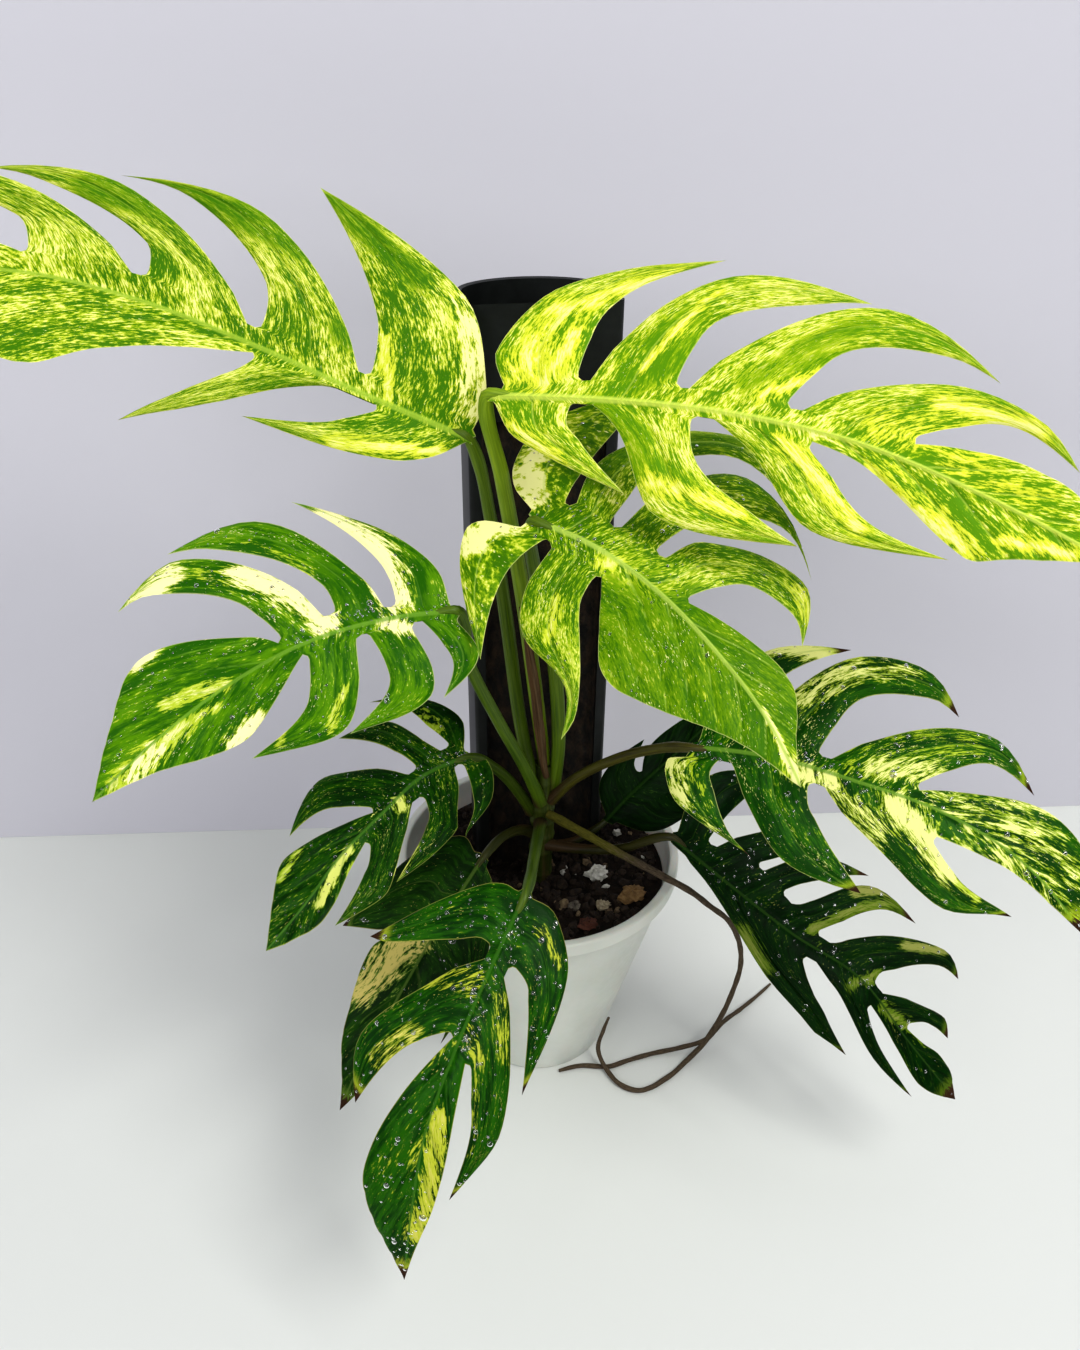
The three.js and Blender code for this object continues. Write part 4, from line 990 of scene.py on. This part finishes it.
            dark=[(45, 14, 70, 38, 5, 0.5), (70, 38, 92, 44, 4, 0.4), (86, -14, 108, -28, 3, 0.6)]),
        green=(38, 92, 2), deep=(15, 60, 2), yellow=(170, 192, 44), cream=(232, 234, 144),
        rib_tone=(108, 148, 50), stalk_tone=((51, 46, 12), (84, 82, 26)), streaks=0.66, flecks=0.66, burn=1,
        gloss=0.36, grain=0.35, rib_width=1.2),
    "i": dict(
        rib=[(69, -39, 180), (101, -52, 158), (133, -66, 138), (167, -81, 122), (192, -98, 95),
             (218, -112, 67)],
        face=(0.1, -0.65, 0.75),
        left=dict(lobes=[
            ((0, 3), [(-1, 42)], (29, 68), [(19, 31)]),
            ((20, 11), [(42, 39)], (61, 59), [(59, 41)]),
            ((48, 18), [(77, 46)], (104, 51), [(76, 30)]),
            ((67, 14), [(77, 17), (106, 46)], (127, 46), [(114, 38)]),
            ((94, 7), [(105, 11), (142, 49)], (162, 46), [(145, 40), (130, 12)]),
            ((132, 4), [(169, 25)], (179, 19), [(165, 15)]),
        ], end=[(158, 4), (170, 6), (180, 9), (192, 8)]),
        right=dict(lobes=[
            ((2, 2), [(35, 8), (113, 36)], (148, 31), [(107, 22)]),
            ((93, 6), [(152, 20)], (185, 17), [(152, 13)]),
        ], end=[(136, 5), (155, 6), (178, 10), (190, 8)]),
        stalk=[(5, -13, 152), (22, -20, 155), (44, -28, 162), (66, -38, 177)],
        stalk_radii=[3, 2.8, 2.6, 2.2],
        strokes=dict(
            cream=[(101, 38, 112, 50, 3), (128, 31, 142, 48, 2)],
            yellow=[(89, 8, 117, 46, 3), (142, 0, 171, 10, 4), (59, -15, 79, -23, 4), (120, -6, 128, 9, 3)]),
        green=(5, 42, 1), deep=(2, 26, 1), yellow=(92, 116, 26), cream=(136, 140, 72), rib_tone=(40, 70, 20),
        stalk_tone=((35, 36, 6), (60, 58, 18)), streaks=0.68, flecks=0.7, burn=1, gloss=0.36, grain=0.2,
        rib_width=1.1),
    # Leaf j sits behind leaf h, by the pole, and all its tones, its stalk's too, are darkened for that:
    # painted shade over the leaf's own deep green.
    "j": dict(
        rib=[(37, -10, 166), (49, -7, 181), (63, -4, 196), (77, 0, 209), (91, 5, 222), (106, 11, 233)],
        face=(0, -0.8, 0.6),
        left=dict(lobes=[
            ((0, 2), [(17, 18)], (47, 17), [(36, 10)]),
        ], end=[(35, 5), (46, 12), (65, 12), (86, 6)]),
        right=dict(lobes=[
            ((1, 4), [(14, 24)], (37, 30), [(39, 20)]),
        ], end=[(42, 14), (53, 17), (67, 16), (86, 11)]),
        stalk=[(7, -9, 148), (20, -10, 152), (31, -10, 160), (36, -10, 165)],
        stalk_radii=[2.4, 2.2, 2, 1.8],
        green=(10, 38, 3), deep=(3, 22, 1), yellow=(40, 70, 14), cream=(90, 110, 50), rib_tone=(34, 60, 18),
        stalk_tone=((30, 34, 6), (52, 54, 18)), streaks=0.66, flecks=0.74, gloss=0.4, grain=0.2,
        rib_width=1.1),
}
for number, leaf in enumerate(leaves.values(), start=1):
    usual = dict(tip_face=leaf["face"], lift=(0, 0), curl=(20, 20), strokes={}, burn=0, number=number)
    leaf.update({**usual, **leaf})


def spine(points, share):
    """Points on the smooth course through flat points, at shares 0 to 1 of its summed length."""
    flat = np.array([(*p, 0.0) for p in points], float)
    place, heading = along(flat, np.asarray(share, float) * length_of(flat))
    return place[:, :2], heading[:, :2]


def edge_line(points, share, inward):
    """A lobe's edge from its gap to its tip, opened next to the gap so that the gap's bottom is round.

    Within r of the gap the edge moves inward by r sqrt(1 - (1 - d / r)^2), and the shift has gone by 7 r.
    """
    place, heading = spine(points, share)
    d = np.asarray(share) * length_of(np.array(points, float)) / gap_bottom_radius
    shift = np.sqrt(1 - (1 - np.clip(d, 0, 1)) ** 2) * np.clip((7 - d) / 6, 0, 1) * gap_bottom_radius
    normal = np.stack([heading[:, 1], -heading[:, 0]], -1) * inward
    return place + normal * shift[:, None]


def feet_of(half):
    """Where each gap of one half is rooted on the midrib: a little behind the gap, and foot_spacing apart."""
    feet = [0.0]
    for gap in [lobe[0] for lobe in half["lobes"]][1:] + [half["end"][0]]:
        feet.append(max(feet[-1] + foot_spacing, gap[0] - foot_lean * gap[1]))
    return feet


def blade_patches(leaf):
    """The flat blade in patches, each with its hand, 1 on the left and -1 on the right, and grids of values.

    Columns leave the midrib at stations. In a lobe they run to the line between its two gaps, and then
    between its two edges, which meet at its tip. Past the last gap they run straight to the margin, but the
    veins lean forward there. The flow is the station that a point's vein starts from, x - lean y where the
    veins lean. It is drawn in by 1 / sqrt(1 + lean^2) there, and stretch is sqrt(1 + lean^2), so that marks
    keep their size.
    """
    whole = length_of(np.array(leaf["rib"], float))
    own = {side: feet_of(leaf[side]) for side in ("left", "right")}
    merged = []
    for foot in sorted(own["left"] + own["right"]):
        if not merged or foot - merged[-1] >= foot_merge:
            merged.append(foot)
    marks = np.array(merged + [whole])
    stations = np.unique(np.concatenate([
        np.linspace(a, b, 2 * max(2, round((b - a) / station_step / 2)) + 1)
        for a, b in zip(marks[:-1], marks[1:])]))
    row = np.linspace(0, 1, web_rows + 1) ** 1.3
    out = np.linspace(0, 1, free_rows + 1) ** 1.35
    patches = []
    for side, hand in (("left", 1), ("right", -1)):
        half = leaf[side]
        feet = [merged[int(np.argmin(np.abs(np.array(merged) - foot)))] for foot in own[side]]
        gaps = [lobe[0] for lobe in half["lobes"]] + [half["end"][0]]
        for i, (gap, back, tip, front) in enumerate(half["lobes"]):
            x = stations[(stations >= feet[i] - tiny) & (stations <= feet[i + 1] + tiny)]
            a = ((x - feet[i]) / (feet[i + 1] - feet[i]))[:, None, None]
            ends = np.array([gaps[i], gaps[i + 1]], float)
            chord = ends[0] * (1 - a[:, 0]) + ends[1] * a[:, 0]
            root = np.stack([x, 0 * x], -1)
            web = root[:, None] + (chord - root)[:, None] * row[:-1, None]
            behind = edge_line([gaps[i], *back, tip], out, 1)
            before = edge_line([gaps[i + 1], *front[::-1], tip], out, -1)
            free = behind * (1 - a) + before * a
            flat = np.concatenate([web, free], 1)
            spread = np.concatenate([(feet[i + 1] - feet[i]) * (1 - row[:-1])
                                     + np.linalg.norm(ends[1] - ends[0]) * row[:-1],
                                     np.linalg.norm(before - behind, axis=-1)])[None]
            off_vein = np.abs(a[:, :, 0] - 0.5) * spread
            margin = np.minimum(a[:, :, 0], 1 - a[:, :, 0]) * spread
            to_gap = np.linalg.norm(flat[:, :, None] - ends, axis=-1).min(-1)
            margin[:, :web_rows] = to_gap[:, :web_rows]
            if i == 0:
                margin[:, :web_rows] = np.minimum(margin[:, :web_rows], x[:, None])
            reach = length_of(np.array([gaps[i], *back, tip], float))
            whole_grid = np.zeros_like(margin)
            off_tip = np.concatenate([np.full(web_rows, reach), (1 - out) * reach])[None] + whole_grid
            share = np.concatenate([0 * row[:-1], out])[None] + whole_grid
            patches.append(dict(
                flat=flat, hand=hand, flow=x[:, None] + whole_grid, off_vein=off_vein, margin=margin,
                off_tip=off_tip, share=share, spread=spread + whole_grid, across=a[:, :, 0], stretch=1.0))
        start = feet[-1]
        x = stations[stations >= start - tiny]
        rim = spine([*half["end"], (whole, 0)], (x - start) / (whole - start))[0]
        rim[-1] = (whole, 0)
        root = np.stack([x, 0 * x], -1)
        flat = root[:, None] + (rim - root)[:, None] * row[:, None]
        width = np.linalg.norm(rim - root, axis=-1)[:, None]
        margin = width * (1 - row)
        margin[0] = np.linalg.norm(flat[0] - rim[0], axis=-1)
        level_reach = max(half["end"][0][1], 1.0)
        onset_length = max(end_vein_onset, 1.3 * end_vein_lean * level_reach)
        onset = np.clip((x - start) / onset_length, 0, 1)[:, None]
        out_y = flat[..., 1]
        flow = x[:, None] - end_vein_lean * (onset * np.minimum(out_y, level_reach)
                                             + np.clip(out_y - level_reach, 0, None))
        squeeze = 1 / np.hypot(1, end_vein_lean)
        off_vein = np.abs((((flow - start) / end_vein_beat) % 1) - 0.5) * end_vein_beat * squeeze
        patches.append(dict(
            flat=flat, hand=hand, flow=start + (flow - start) * squeeze, off_vein=off_vein, margin=margin,
            off_tip=np.linalg.norm(flat - [whole, 0], axis=-1), share=np.zeros_like(margin),
            spread=np.full_like(margin, end_vein_beat), across=0.5 + 0 * x[:, None],
            stretch=1 + (1 / squeeze - 1) * onset))
    return patches


def blade_place(leaf, x, y, hand):
    """Where the flat point (x, y) of one half lies, and the blade's normal there, in millimetres.

    Past the midrib the half leaves at its lift and bends down evenly: out (sin l - sin(l - k y)) / k and up
    (cos(l - k y) - cos l) / k, where l is the lift and k the curl for each millimetre.
    """
    rib = np.array(leaf["rib"], float)
    place, heading = along(rib, x)
    share = np.clip(x / length_of(rib), 0, 1)[..., None]
    facing = np.array(leaf["face"]) * (1 - share) + np.array(leaf["tip_face"]) * share
    normal = unit(facing - (facing * heading).sum(-1, keepdims=True) * heading)
    across = np.cross(normal, heading) * hand
    side = 0 if hand > 0 else 1
    lift = np.radians(leaf["lift"][side])
    bend = np.radians(leaf["curl"][side]) / 100
    lean = (lift - bend * y)[..., None]
    place = place + (across * (np.sin(lift) - np.sin(lean)) + normal * (np.cos(lean) - np.cos(lift))) / bend
    lean = (lift * np.clip(y / 4, 0, 1) - bend * y)[..., None]
    return place, normal * np.cos(lean) - across * np.sin(lean)


def blade_relief(patch, number):
    """How far each point stands off the plain blade, in millimetres.

    A valley along each side of the midrib, a groove on each lobe's vein, edges that droop, tips that dip or
    rise, and slow waves. All of it is nothing on the midrib itself and the same where two patches meet.
    """
    x, y = patch["flat"][..., 0], patch["flat"][..., 1]
    share, spread, hand = patch["share"], patch["spread"], patch["hand"]
    seed = 10 * number
    wave = sum(height * value_noise(x, hand * y, cell, seed + step) for height, cell, step in slow_waves)
    off_rib = 1 - np.exp(-((y / rib_calm_width) ** 2))
    groove = (-vein_groove * np.exp(-((patch["off_vein"] / vein_groove_width) ** 2)) * off_rib
              * np.clip(spread / 10, 0, 1))
    across = np.clip(np.abs(2 * patch["across"] - 1), 0, 1) ** 2
    droop = -lobe_droop * np.clip(spread, 0, 30) * across * np.clip(3 * share, 0, 1)
    droop = droop - margin_droop * (1 - np.clip(patch["margin"] / 5, 0, 1)) ** 2 * np.clip(y / 8, 0, 1)
    dip = -np.random.default_rng(seed).uniform(*tip_dips) * share ** 2.5
    valley = -rib_valley * (y / rib_valley_reach) * np.exp(1 - y / rib_valley_reach)
    return wave * np.clip(y / wave_onset, 0, 1) + groove + droop + dip + valley


def stroke_share(flat, hand, strokes):
    """The nearest stroke of one colour: 1 on its middle line, 0 at its edge, and down to -1 away from it.

    A sixth number caps the stroke below 1, and so leaves it broken up by the blade's own noise.
    """
    best = np.full(flat.shape[:-1], -1.0)
    point = flat * [1, hand]
    for x0, y0, x1, y1, half, *full in strokes:
        start, step = np.array([x0, y0], float), np.array([x1 - x0, y1 - y0], float)
        t = np.clip(((point - start) @ step) / (step @ step), 0, 1)
        gap = np.linalg.norm(point - start - t[..., None] * step, axis=-1)
        best = np.maximum(best, np.clip(1 - gap / half, -1, *(full or [1])))
    return best


stroke_colours = ("cream", "yellow", "dark")
mark_names = ["off_vein", "off_rib", "off_margin", "off_tip", "cream_stroke", "yellow_stroke", "dark_stroke",
              "underside"]


def blade_mesh(leaf):
    """The blade's two skins, each patch raised by its relief and half its thickness, welded at the margin."""
    grids = []
    whole = length_of(np.array(leaf["rib"], float))
    for patch in blade_patches(leaf):
        flat, hand, margin = patch["flat"], patch["hand"], patch["margin"]
        x, y = flat[..., 0], flat[..., 1]
        gone_out = np.clip(x / whole, 0, 1)
        place, normal = blade_place(leaf, x, y, hand)
        relief = blade_relief(patch, leaf["number"])
        body = np.sqrt(np.clip(margin / blade_edge_width, 0, 1))
        slim = 1 - rib_slimming * gone_out
        top = body * (blade_half_thickness + rib_rise * slim * np.exp(-((y / rib_rise_width) ** 2)))
        bottom = body * (blade_half_thickness + rib_keel * slim * np.exp(-((y / rib_keel_width) ** 2)))
        step = np.linalg.norm(np.diff(flat, axis=1), axis=-1)
        along_vein = np.concatenate([np.zeros((len(flat), 1)), np.cumsum(step, axis=1)], 1)
        vein_map = np.stack([patch["flow"] / 10, along_vein * hand * patch["stretch"] / 10], -1)
        rib_half = leaf["rib_width"] * (1 - rib_paling * gone_out)
        marks = [patch["off_vein"], y / rib_half, margin, patch["off_tip"]]
        marks += [stroke_share(flat, hand, leaf["strokes"].get(colour, ())) for colour in stroke_colours]
        for height, under in ((relief + top, False), (relief - bottom, True)):
            skin = (place + normal * height[..., None]) * MM
            below = np.full_like(margin, under)
            grids.append((np.concatenate([skin, vein_map, np.stack([*marks, below], -1)], -1),
                          (hand > 0) == under))
    return weld(grids)


burnt_brown = (0.040, 0.018, 0.009, 1)
underside_green = (0.20, 0.29, 0.10, 1)


def blade_group():
    """The variegation as a node group, read from the vein map and the marks on the blade.

    Slow noise drawn out along the veins mixes two greens, and Grain adds finer marks to the mix. Sharper
    noise adds yellow streaks with paler hearts and cream flecks, and roughens the edges of the given
    strokes. Veins and midrib are paler, a painted highlight runs pale along the margin, and tips may be
    brown.
    """
    group, given, result = new_group("variegated_blade", {
        **dict.fromkeys(("Green", "Deep Green", "Yellow", "Cream", "Midrib"), "Color"),
        **dict.fromkeys(("Streak Level", "Fleck Level", "Grain", "Brown Tips", "Seed"), "Float")},
        {"Colour": "Color", "Height": "Float", "Dryness": "Float"})
    uv = add_node(group, "ShaderNodeUVMap", uv_map="vein_map")
    seed = add_node(group, "ShaderNodeCombineXYZ")
    moved = add_node(group, "ShaderNodeVectorMath", operation="ADD")
    join(group, (given["Seed"], seed.inputs["Z"]), (uv.outputs["UV"], moved.inputs[0]),
         (seed.outputs["Vector"], moved.inputs[1]))

    def veined_noise(across, along_vein, detail, rough=0.55):
        """Noise whose marks are 1 / across cm wide and 1 / along_vein cm long."""
        stretch = add_node(group, "ShaderNodeMapping", {"Scale": (across, along_vein, 1.0)})
        noise = add_node(group, "ShaderNodeTexNoise", {"Scale": 1.0, "Detail": detail, "Roughness": rough})
        join(group, (moved.outputs["Vector"], stretch.inputs["Vector"]),
             (stretch.outputs["Vector"], noise.inputs["Vector"]))
        return noise.outputs["Fac"]

    def calc(operation, *terms):
        """A math node of this group."""
        return calculate(group, operation, *terms)

    def sway(base, noise, amount):
        """The base plus an amount of how far the noise is from its middle."""
        return calc("MULTIPLY_ADD", calc("SUBTRACT", noise, 0.5), amount, base)

    def ramp(value, low, high, start=0.0, stop=1.0):
        """A smooth step of value from low to high, put out between start and stop."""
        values = {"From Min": low, "From Max": high, "To Min": start, "To Max": stop}
        node = add_node(group, "ShaderNodeMapRange", values, interpolation_type="SMOOTHSTEP")
        group.links.new(value, node.inputs["Value"])
        return node.outputs["Result"]

    def lay(under, colour, amount):
        """A colour of this group laid over another by an amount from 0 to 1."""
        return lay_colour(group, under, colour, amount)

    def mark(name):
        """A mark on the blade's points, by name."""
        return add_node(group, "ShaderNodeAttribute", attribute_name=name).outputs["Fac"]

    broad = veined_noise(0.6, 0.3, 2.0)
    drawn = veined_noise(3.6, 0.8, 3.0, 0.6)
    speck = veined_noise(13.0, 3.1, 5.0, 0.68)
    fleck = veined_noise(16.0, 6.0, 3.0, 0.6)
    fine = veined_noise(40.0, 9.0, 2.0)
    patchy = sway(sway(speck, broad, 0.36), drawn, 0.34)
    mottled = sway(sway(calc("MULTIPLY", drawn, 0.6), broad, 0.5), speck, given["Grain"])
    broken = sway(sway(0.0, drawn, 3.2), speck, 3.4)
    colour = lay(given["Deep Green"], given["Green"], ramp(mottled, 0.2, 0.38))
    kept_green = ramp(calc("ADD", mark("dark_stroke"), broken), -0.1, 0.4)
    over_streak = calc("SUBTRACT", patchy, given["Streak Level"])
    over_streak = calc("MULTIPLY_ADD", kept_green, -0.075, over_streak)
    colour = lay(colour, given["Yellow"], ramp(over_streak, -0.05, 0.08))
    colour = lay(colour, given["Cream"], ramp(over_streak, 0.02, 0.16, 0.0, 0.85))
    colour = lay(colour, given["Deep Green"], calc("MULTIPLY", kept_green, 0.45))
    yellowed = calc("ADD", mark("yellow_stroke"), broken)
    colour = lay(colour, given["Yellow"], ramp(yellowed, 0.0, 0.4))
    colour = lay(colour, given["Cream"], ramp(yellowed, 0.55, 1.3, 0.0, 0.75))
    creamy = calc("ADD", mark("cream_stroke"), broken)
    colour = lay(colour, given["Yellow"], ramp(creamy, -0.35, 0.0, 0.0, 0.75))
    colour = lay(colour, given["Cream"], ramp(creamy, 0.0, 0.3))
    clustered = sway(fleck, veined_noise(1.1, 0.5, 2.0), 0.35)
    over_fleck = calc("SUBTRACT", clustered, given["Fleck Level"])
    colour = lay(colour, given["Cream"], ramp(over_fleck, 0.0, 0.035, 0.0, 0.9))
    vein = ramp(mark("off_vein"), 0.15, 0.65, 0.38, 0.0)
    colour = lay(colour, given["Midrib"], vein)
    colour = lay(colour, given["Midrib"], ramp(mark("off_rib"), 0.4, 1.2, 0.8, 0.0))
    # Cream laid along the margin: a painted highlight where the thin edge catches the light.
    colour = lay(colour, given["Cream"], ramp(mark("off_margin"), 0.1, 0.45, 0.4, 0.0))
    to_tip = sway(mark("off_tip"), speck, 12.0)
    dried = calc("MULTIPLY", ramp(to_tip, 7.0, 13.0, 0.7, 0.0), given["Brown Tips"])
    colour = lay(colour, given["Yellow"], dried)
    burnt = calc("MULTIPLY", ramp(to_tip, 5.5, 8.0, 1.0, 0.0), given["Brown Tips"])
    colour = lay(colour, burnt_brown, burnt)
    colour = lay(colour, underside_green, calc("MULTIPLY", mark("underside"), 0.5))
    ridges = calc("MULTIPLY_ADD", drawn, 0.8, calc("MULTIPLY", fine, 0.2))
    sunk = calc("MULTIPLY_ADD", ramp(mark("off_vein"), 0.0, 0.9, 1.0, 0.0), -0.5, ridges)
    dryness = calc("MAXIMUM", burnt, calc("MULTIPLY", mark("underside"), 0.6))
    join(group, (colour, result["Colour"]), (sunk, result["Height"]), (dryness, result["Dryness"]))
    return group


variegation = blade_group()


def blade_material(letter, leaf):
    """A waxy leaf skin in this leaf's own colours: glossy on top, duller under it and on dry tips."""
    made, shader = new_material("leaf_skin_" + letter, leaf["gloss"], Specular_IOR_Level=0.06)
    tree = made.node_tree
    tones = {"Green": "green", "Deep Green": "deep", "Yellow": "yellow", "Cream": "cream",
             "Midrib": "rib_tone"}
    amounts = {"Streak Level": "streaks", "Fleck Level": "flecks", "Grain": "grain", "Brown Tips": "burn"}
    values = {socket: tone(*leaf[key]) for socket, key in tones.items()}
    values.update({socket: leaf[key] for socket, key in amounts.items()})
    values["Seed"] = 7.3 * leaf["number"]
    skin = add_node(tree, "ShaderNodeGroup", values, node_tree=variegation)
    dull = add_node(tree, "ShaderNodeMapRange", {"To Min": leaf["gloss"], "To Max": 0.75})
    bump = add_node(tree, "ShaderNodeBump", {"Strength": 0.55, "Distance": 0.001})
    join(tree, (skin.outputs["Colour"], shader.inputs["Base Color"]),
         (skin.outputs["Dryness"], dull.inputs["Value"]),
         (dull.outputs["Result"], shader.inputs["Roughness"]),
         (skin.outputs["Height"], bump.inputs["Height"]), (bump.outputs["Normal"], shader.inputs["Normal"]))
    return made


old_stalk = ((0.035, 0.02, 0.008, 1), (0.085, 0.052, 0.022, 1))
for letter, leaf in leaves.items():
    blade_points, blade_faces = blade_mesh(leaf)
    blade_marks = {key: blade_points[:, 5 + index] for index, key in enumerate(mark_names)}
    blade = mesh_piece(f"leaf_{letter}_blade", blade_points[:, :3], blade_faces,
                       blade_material(letter, leaf), blade_points[:, 3:5], blade_marks, crease=60)
    joints, facings = blade_place(leaf, np.array([0.0, stalk_tuck]), np.zeros(2), 1)
    stalk_course = np.concatenate([np.array(leaf["stalk"][:-1], float), joints - stalk_sink * facings])
    stalk_length = length_of(stalk_course)

    def stalk_swell(s, turn, whole=stalk_length):
        """A shallow groove along one side, a knee near the end, and a broad foot on the stem."""
        groove = -0.16 * np.exp(-((np.abs(turn - np.pi) / 0.45) ** 2))
        knee = 0.12 * np.exp(-((s / MM - whole + knee_before_end) / 7) ** 2)
        foot = 0.22 * np.exp(-s / (9 * MM))
        return groove + knee + foot

    young_stalk = [tone(*colour) for colour in leaf["stalk_tone"]]
    stalk_skin = bark_material(f"stalk_skin_{letter}", young_stalk, old_stalk, 0.6, 0.42)
    stalk_radii = np.array([*leaf["stalk_radii"], stalk_end_radius]) * MM
    stalk_grid = tube(stalk_course * MM, stalk_radii, 90, 20, stalk_swell)
    stalk = tube_piece(f"leaf_{letter}_stalk", stalk_grid, stalk_skin,
                       lambda s, turn: 0.75 - s / 55 + 0.3 * np.cos(turn))
    for piece in (blade, stalk):
        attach(piece, "root")
        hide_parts(f"leaf_{letter}")

# The dry sheath: the papery brown remains of an old leaf base, a folded strip left standing beside the
# stalks.
sheath_course = np.array([[4, -15, 200], [2, -21, 216], [0, -27, 240], [-4, -34, 280], [-9, -40, 315]]) * MM
sheath_radii = np.array([1.4, 2, 2.4, 2.2, 0.8]) * MM


def sheath_swell(s, turn):
    """A folded strip: pinched to 0.4 of its width on two sides, with frayed flutes."""
    return 0.1 - 0.25 * np.cos(turn) ** 2 + 0.1 * np.sin(5 * turn + s / (6 * MM))


sheath_skin = bark_material("dry_sheath", ((0.05, 0.026, 0.009, 1), (0.13, 0.072, 0.028, 1)),
                            ((0.05, 0.03, 0.012, 1), (0.16, 0.10, 0.05, 1)), 0.9, 0.85)
sheath = tube_piece("dry_sheath_strip", tube(sheath_course, sheath_radii, 100, 30, sheath_swell), sheath_skin,
                    lambda s, turn: 0.3 + 0.3 * np.cos(2 * turn))
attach(sheath, "root")
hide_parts("dry_sheath")

# The aerial root: a woody brown root that leaves the stem, climbs over the rim, drops to the table and runs
# back along it to the foot of the pot, with a side root that lies out to the right.
root_course = np.array([
    [5, -16, 176], [24, -26, 171], [41, -33, 165], [62, -38, 155], [78, -40, 146], [92, -37, 132],
    [110, -30, 108], [120, -22, 70], [115, -22, 34], [104, -28, 10], [92, -37, 2.8], [79, -49, 1.7],
    [63, -58, 1.7], [50, -54, 1.9], [41.5, -43, 4], [37.5, -38, 14], [40, -38, 30], [42.5, -39, 42]]) * MM
root_radii = np.array([
    2.6, 2.4, 2.2, 2, 1.8, 1.6, 1.5, 1.5, 1.5, 1.6, 1.5, 1.5, 1.5, 1.5, 1.4, 1.3, 1.1, 0.8]) * MM
branch_course = np.array([
    [154, 26, 1.4], [142, 14, 1.5], [130, 2, 4], [114, -18, 13], [104, -27.5, 10.5], [90, -28, 3.6],
    [72, -31, 1.7], [55, -37, 1.6], [44, -41, 1.6], [27, -41, 1.6], [14, -44.5, 1.6]]) * MM
branch_radii = np.array([0.8, 1.1, 1.3, 1.4, 1.4, 1.4, 1.4, 1.4, 1.4, 1.4, 1]) * MM
table_clearance = 0.05 * MM


def root_swell(s, turn):
    """Knots and wrinkles: three waves of different length along the root, turning round it."""
    knots = 0.09 * np.sin(s / (7 * MM) + turn) * np.sin(s / (19 * MM))
    return knots + 0.06 * np.sin(s / (2.4 * MM) + 2 * turn) + 0.04 * np.sin(3 * turn - s / (5 * MM))


root_skin = bark_material("root_bark", (tone(66, 66, 12), tone(104, 98, 30)),
                          ((0.028, 0.019, 0.011, 1), (0.12, 0.088, 0.055, 1)), 0.8, 0.8, grain=(0.5, 0.8))
for root_name, course_points, course_radii, steps, green_reach in (
        ("aerial_root_main", root_course, root_radii, 420, 90),
        ("aerial_root_branch", branch_course, branch_radii, 240, 0.1)):
    root_grid = tube(course_points, course_radii, steps, 16, root_swell)
    root_grid[..., 2] = np.maximum(root_grid[..., 2], table_clearance)
    root = tube_piece(root_name, root_grid, root_skin, lambda s, turn, reach=green_reach: s / reach)
    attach(root, "root")
    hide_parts("aerial_root")

# Water: the drops of a recent spray that stand on the middle and lower leaves, as low clear beads. Each leaf
# has a number of tries at a drop, some of which fall too near an edge, and a size for its drops.
water = new_material("water", 0.02, Transmission_Weight=1.0, IOR=1.33, Specular_IOR_Level=1.0,
                     Coat_Weight=1.0)[0]
drop_looks = dict(c=(300, 0.65), d=(420, 0.8), e=(300, 0.75), f=(420, 1.1), g=(70, 1.1), h=(420, 0.9),
                  i=(220, 1.0))
drop_height = 0.45
drop_margin = 1.4


def drop_grids(middles, normals, sizes, rings=4, sides=8):
    """Beads cut off low: radius r sin p and height 0.45 r cos p over the skin, closed by a flat underside."""
    reference = np.where(np.abs(normals[:, :1]) < 0.7, [[1.0, 0, 0]], [[0, 1.0, 0]])
    side = unit(np.cross(normals, reference))
    other = np.cross(normals, side)
    polar = np.append(np.linspace(0, np.pi / 2, rings), np.pi / 2)
    reach = np.append(np.ones(rings), 0.0)
    p, t = np.meshgrid(polar, full_turn(sides), indexing="ij")
    r = np.sin(p) * reach[:, None]
    size = sizes[:, None, None, None]
    grid = (middles[:, None, None] + size * (r * np.cos(t))[None, ..., None] * side[:, None, None]
            + size * (r * np.sin(t))[None, ..., None] * other[:, None, None]
            + size * (drop_height * np.cos(p))[None, ..., None] * normals[:, None, None])
    return [(one, True) for one in grid]


for index_seed, (letter, (count, swelling)) in enumerate(drop_looks.items()):
    draw = np.random.default_rng(300 + index_seed)
    leaf = leaves[letter]
    patches = blade_patches(leaf)
    areas = np.array([np.ptp(patch["flat"], axis=(0, 1)).prod() for patch in patches])
    picked = draw.choice(len(patches), size=count, p=areas / areas.sum())
    spots, ups = [], []
    for index, patch in enumerate(patches):
        many = int((picked == index).sum())
        rows, columns = patch["margin"].shape
        row = draw.integers(1, rows - 1, many)
        column = draw.integers(1, columns - 1, many)
        inside = patch["margin"][row, column] > drop_margin
        row, column = row[inside], column[inside]
        x, y = patch["flat"][row, column].T
        place, normal = blade_place(leaf, x, y, patch["hand"])
        height = blade_relief(patch, leaf["number"])[row, column]
        spots.append((place + normal * (height + blade_half_thickness)[:, None]) * MM)
        ups.append(normal)
    spots, ups = np.concatenate(spots), np.concatenate(ups)
    sizes = draw.lognormal(-0.6, 0.45, len(spots)).clip(0.25, 1.9) * swelling * MM
    drop_points, drop_faces = weld(drop_grids(spots, ups, sizes))
    drops = mesh_piece(f"water_drops_{letter}", drop_points, drop_faces, water, crease=70)
    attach(drops, "root")
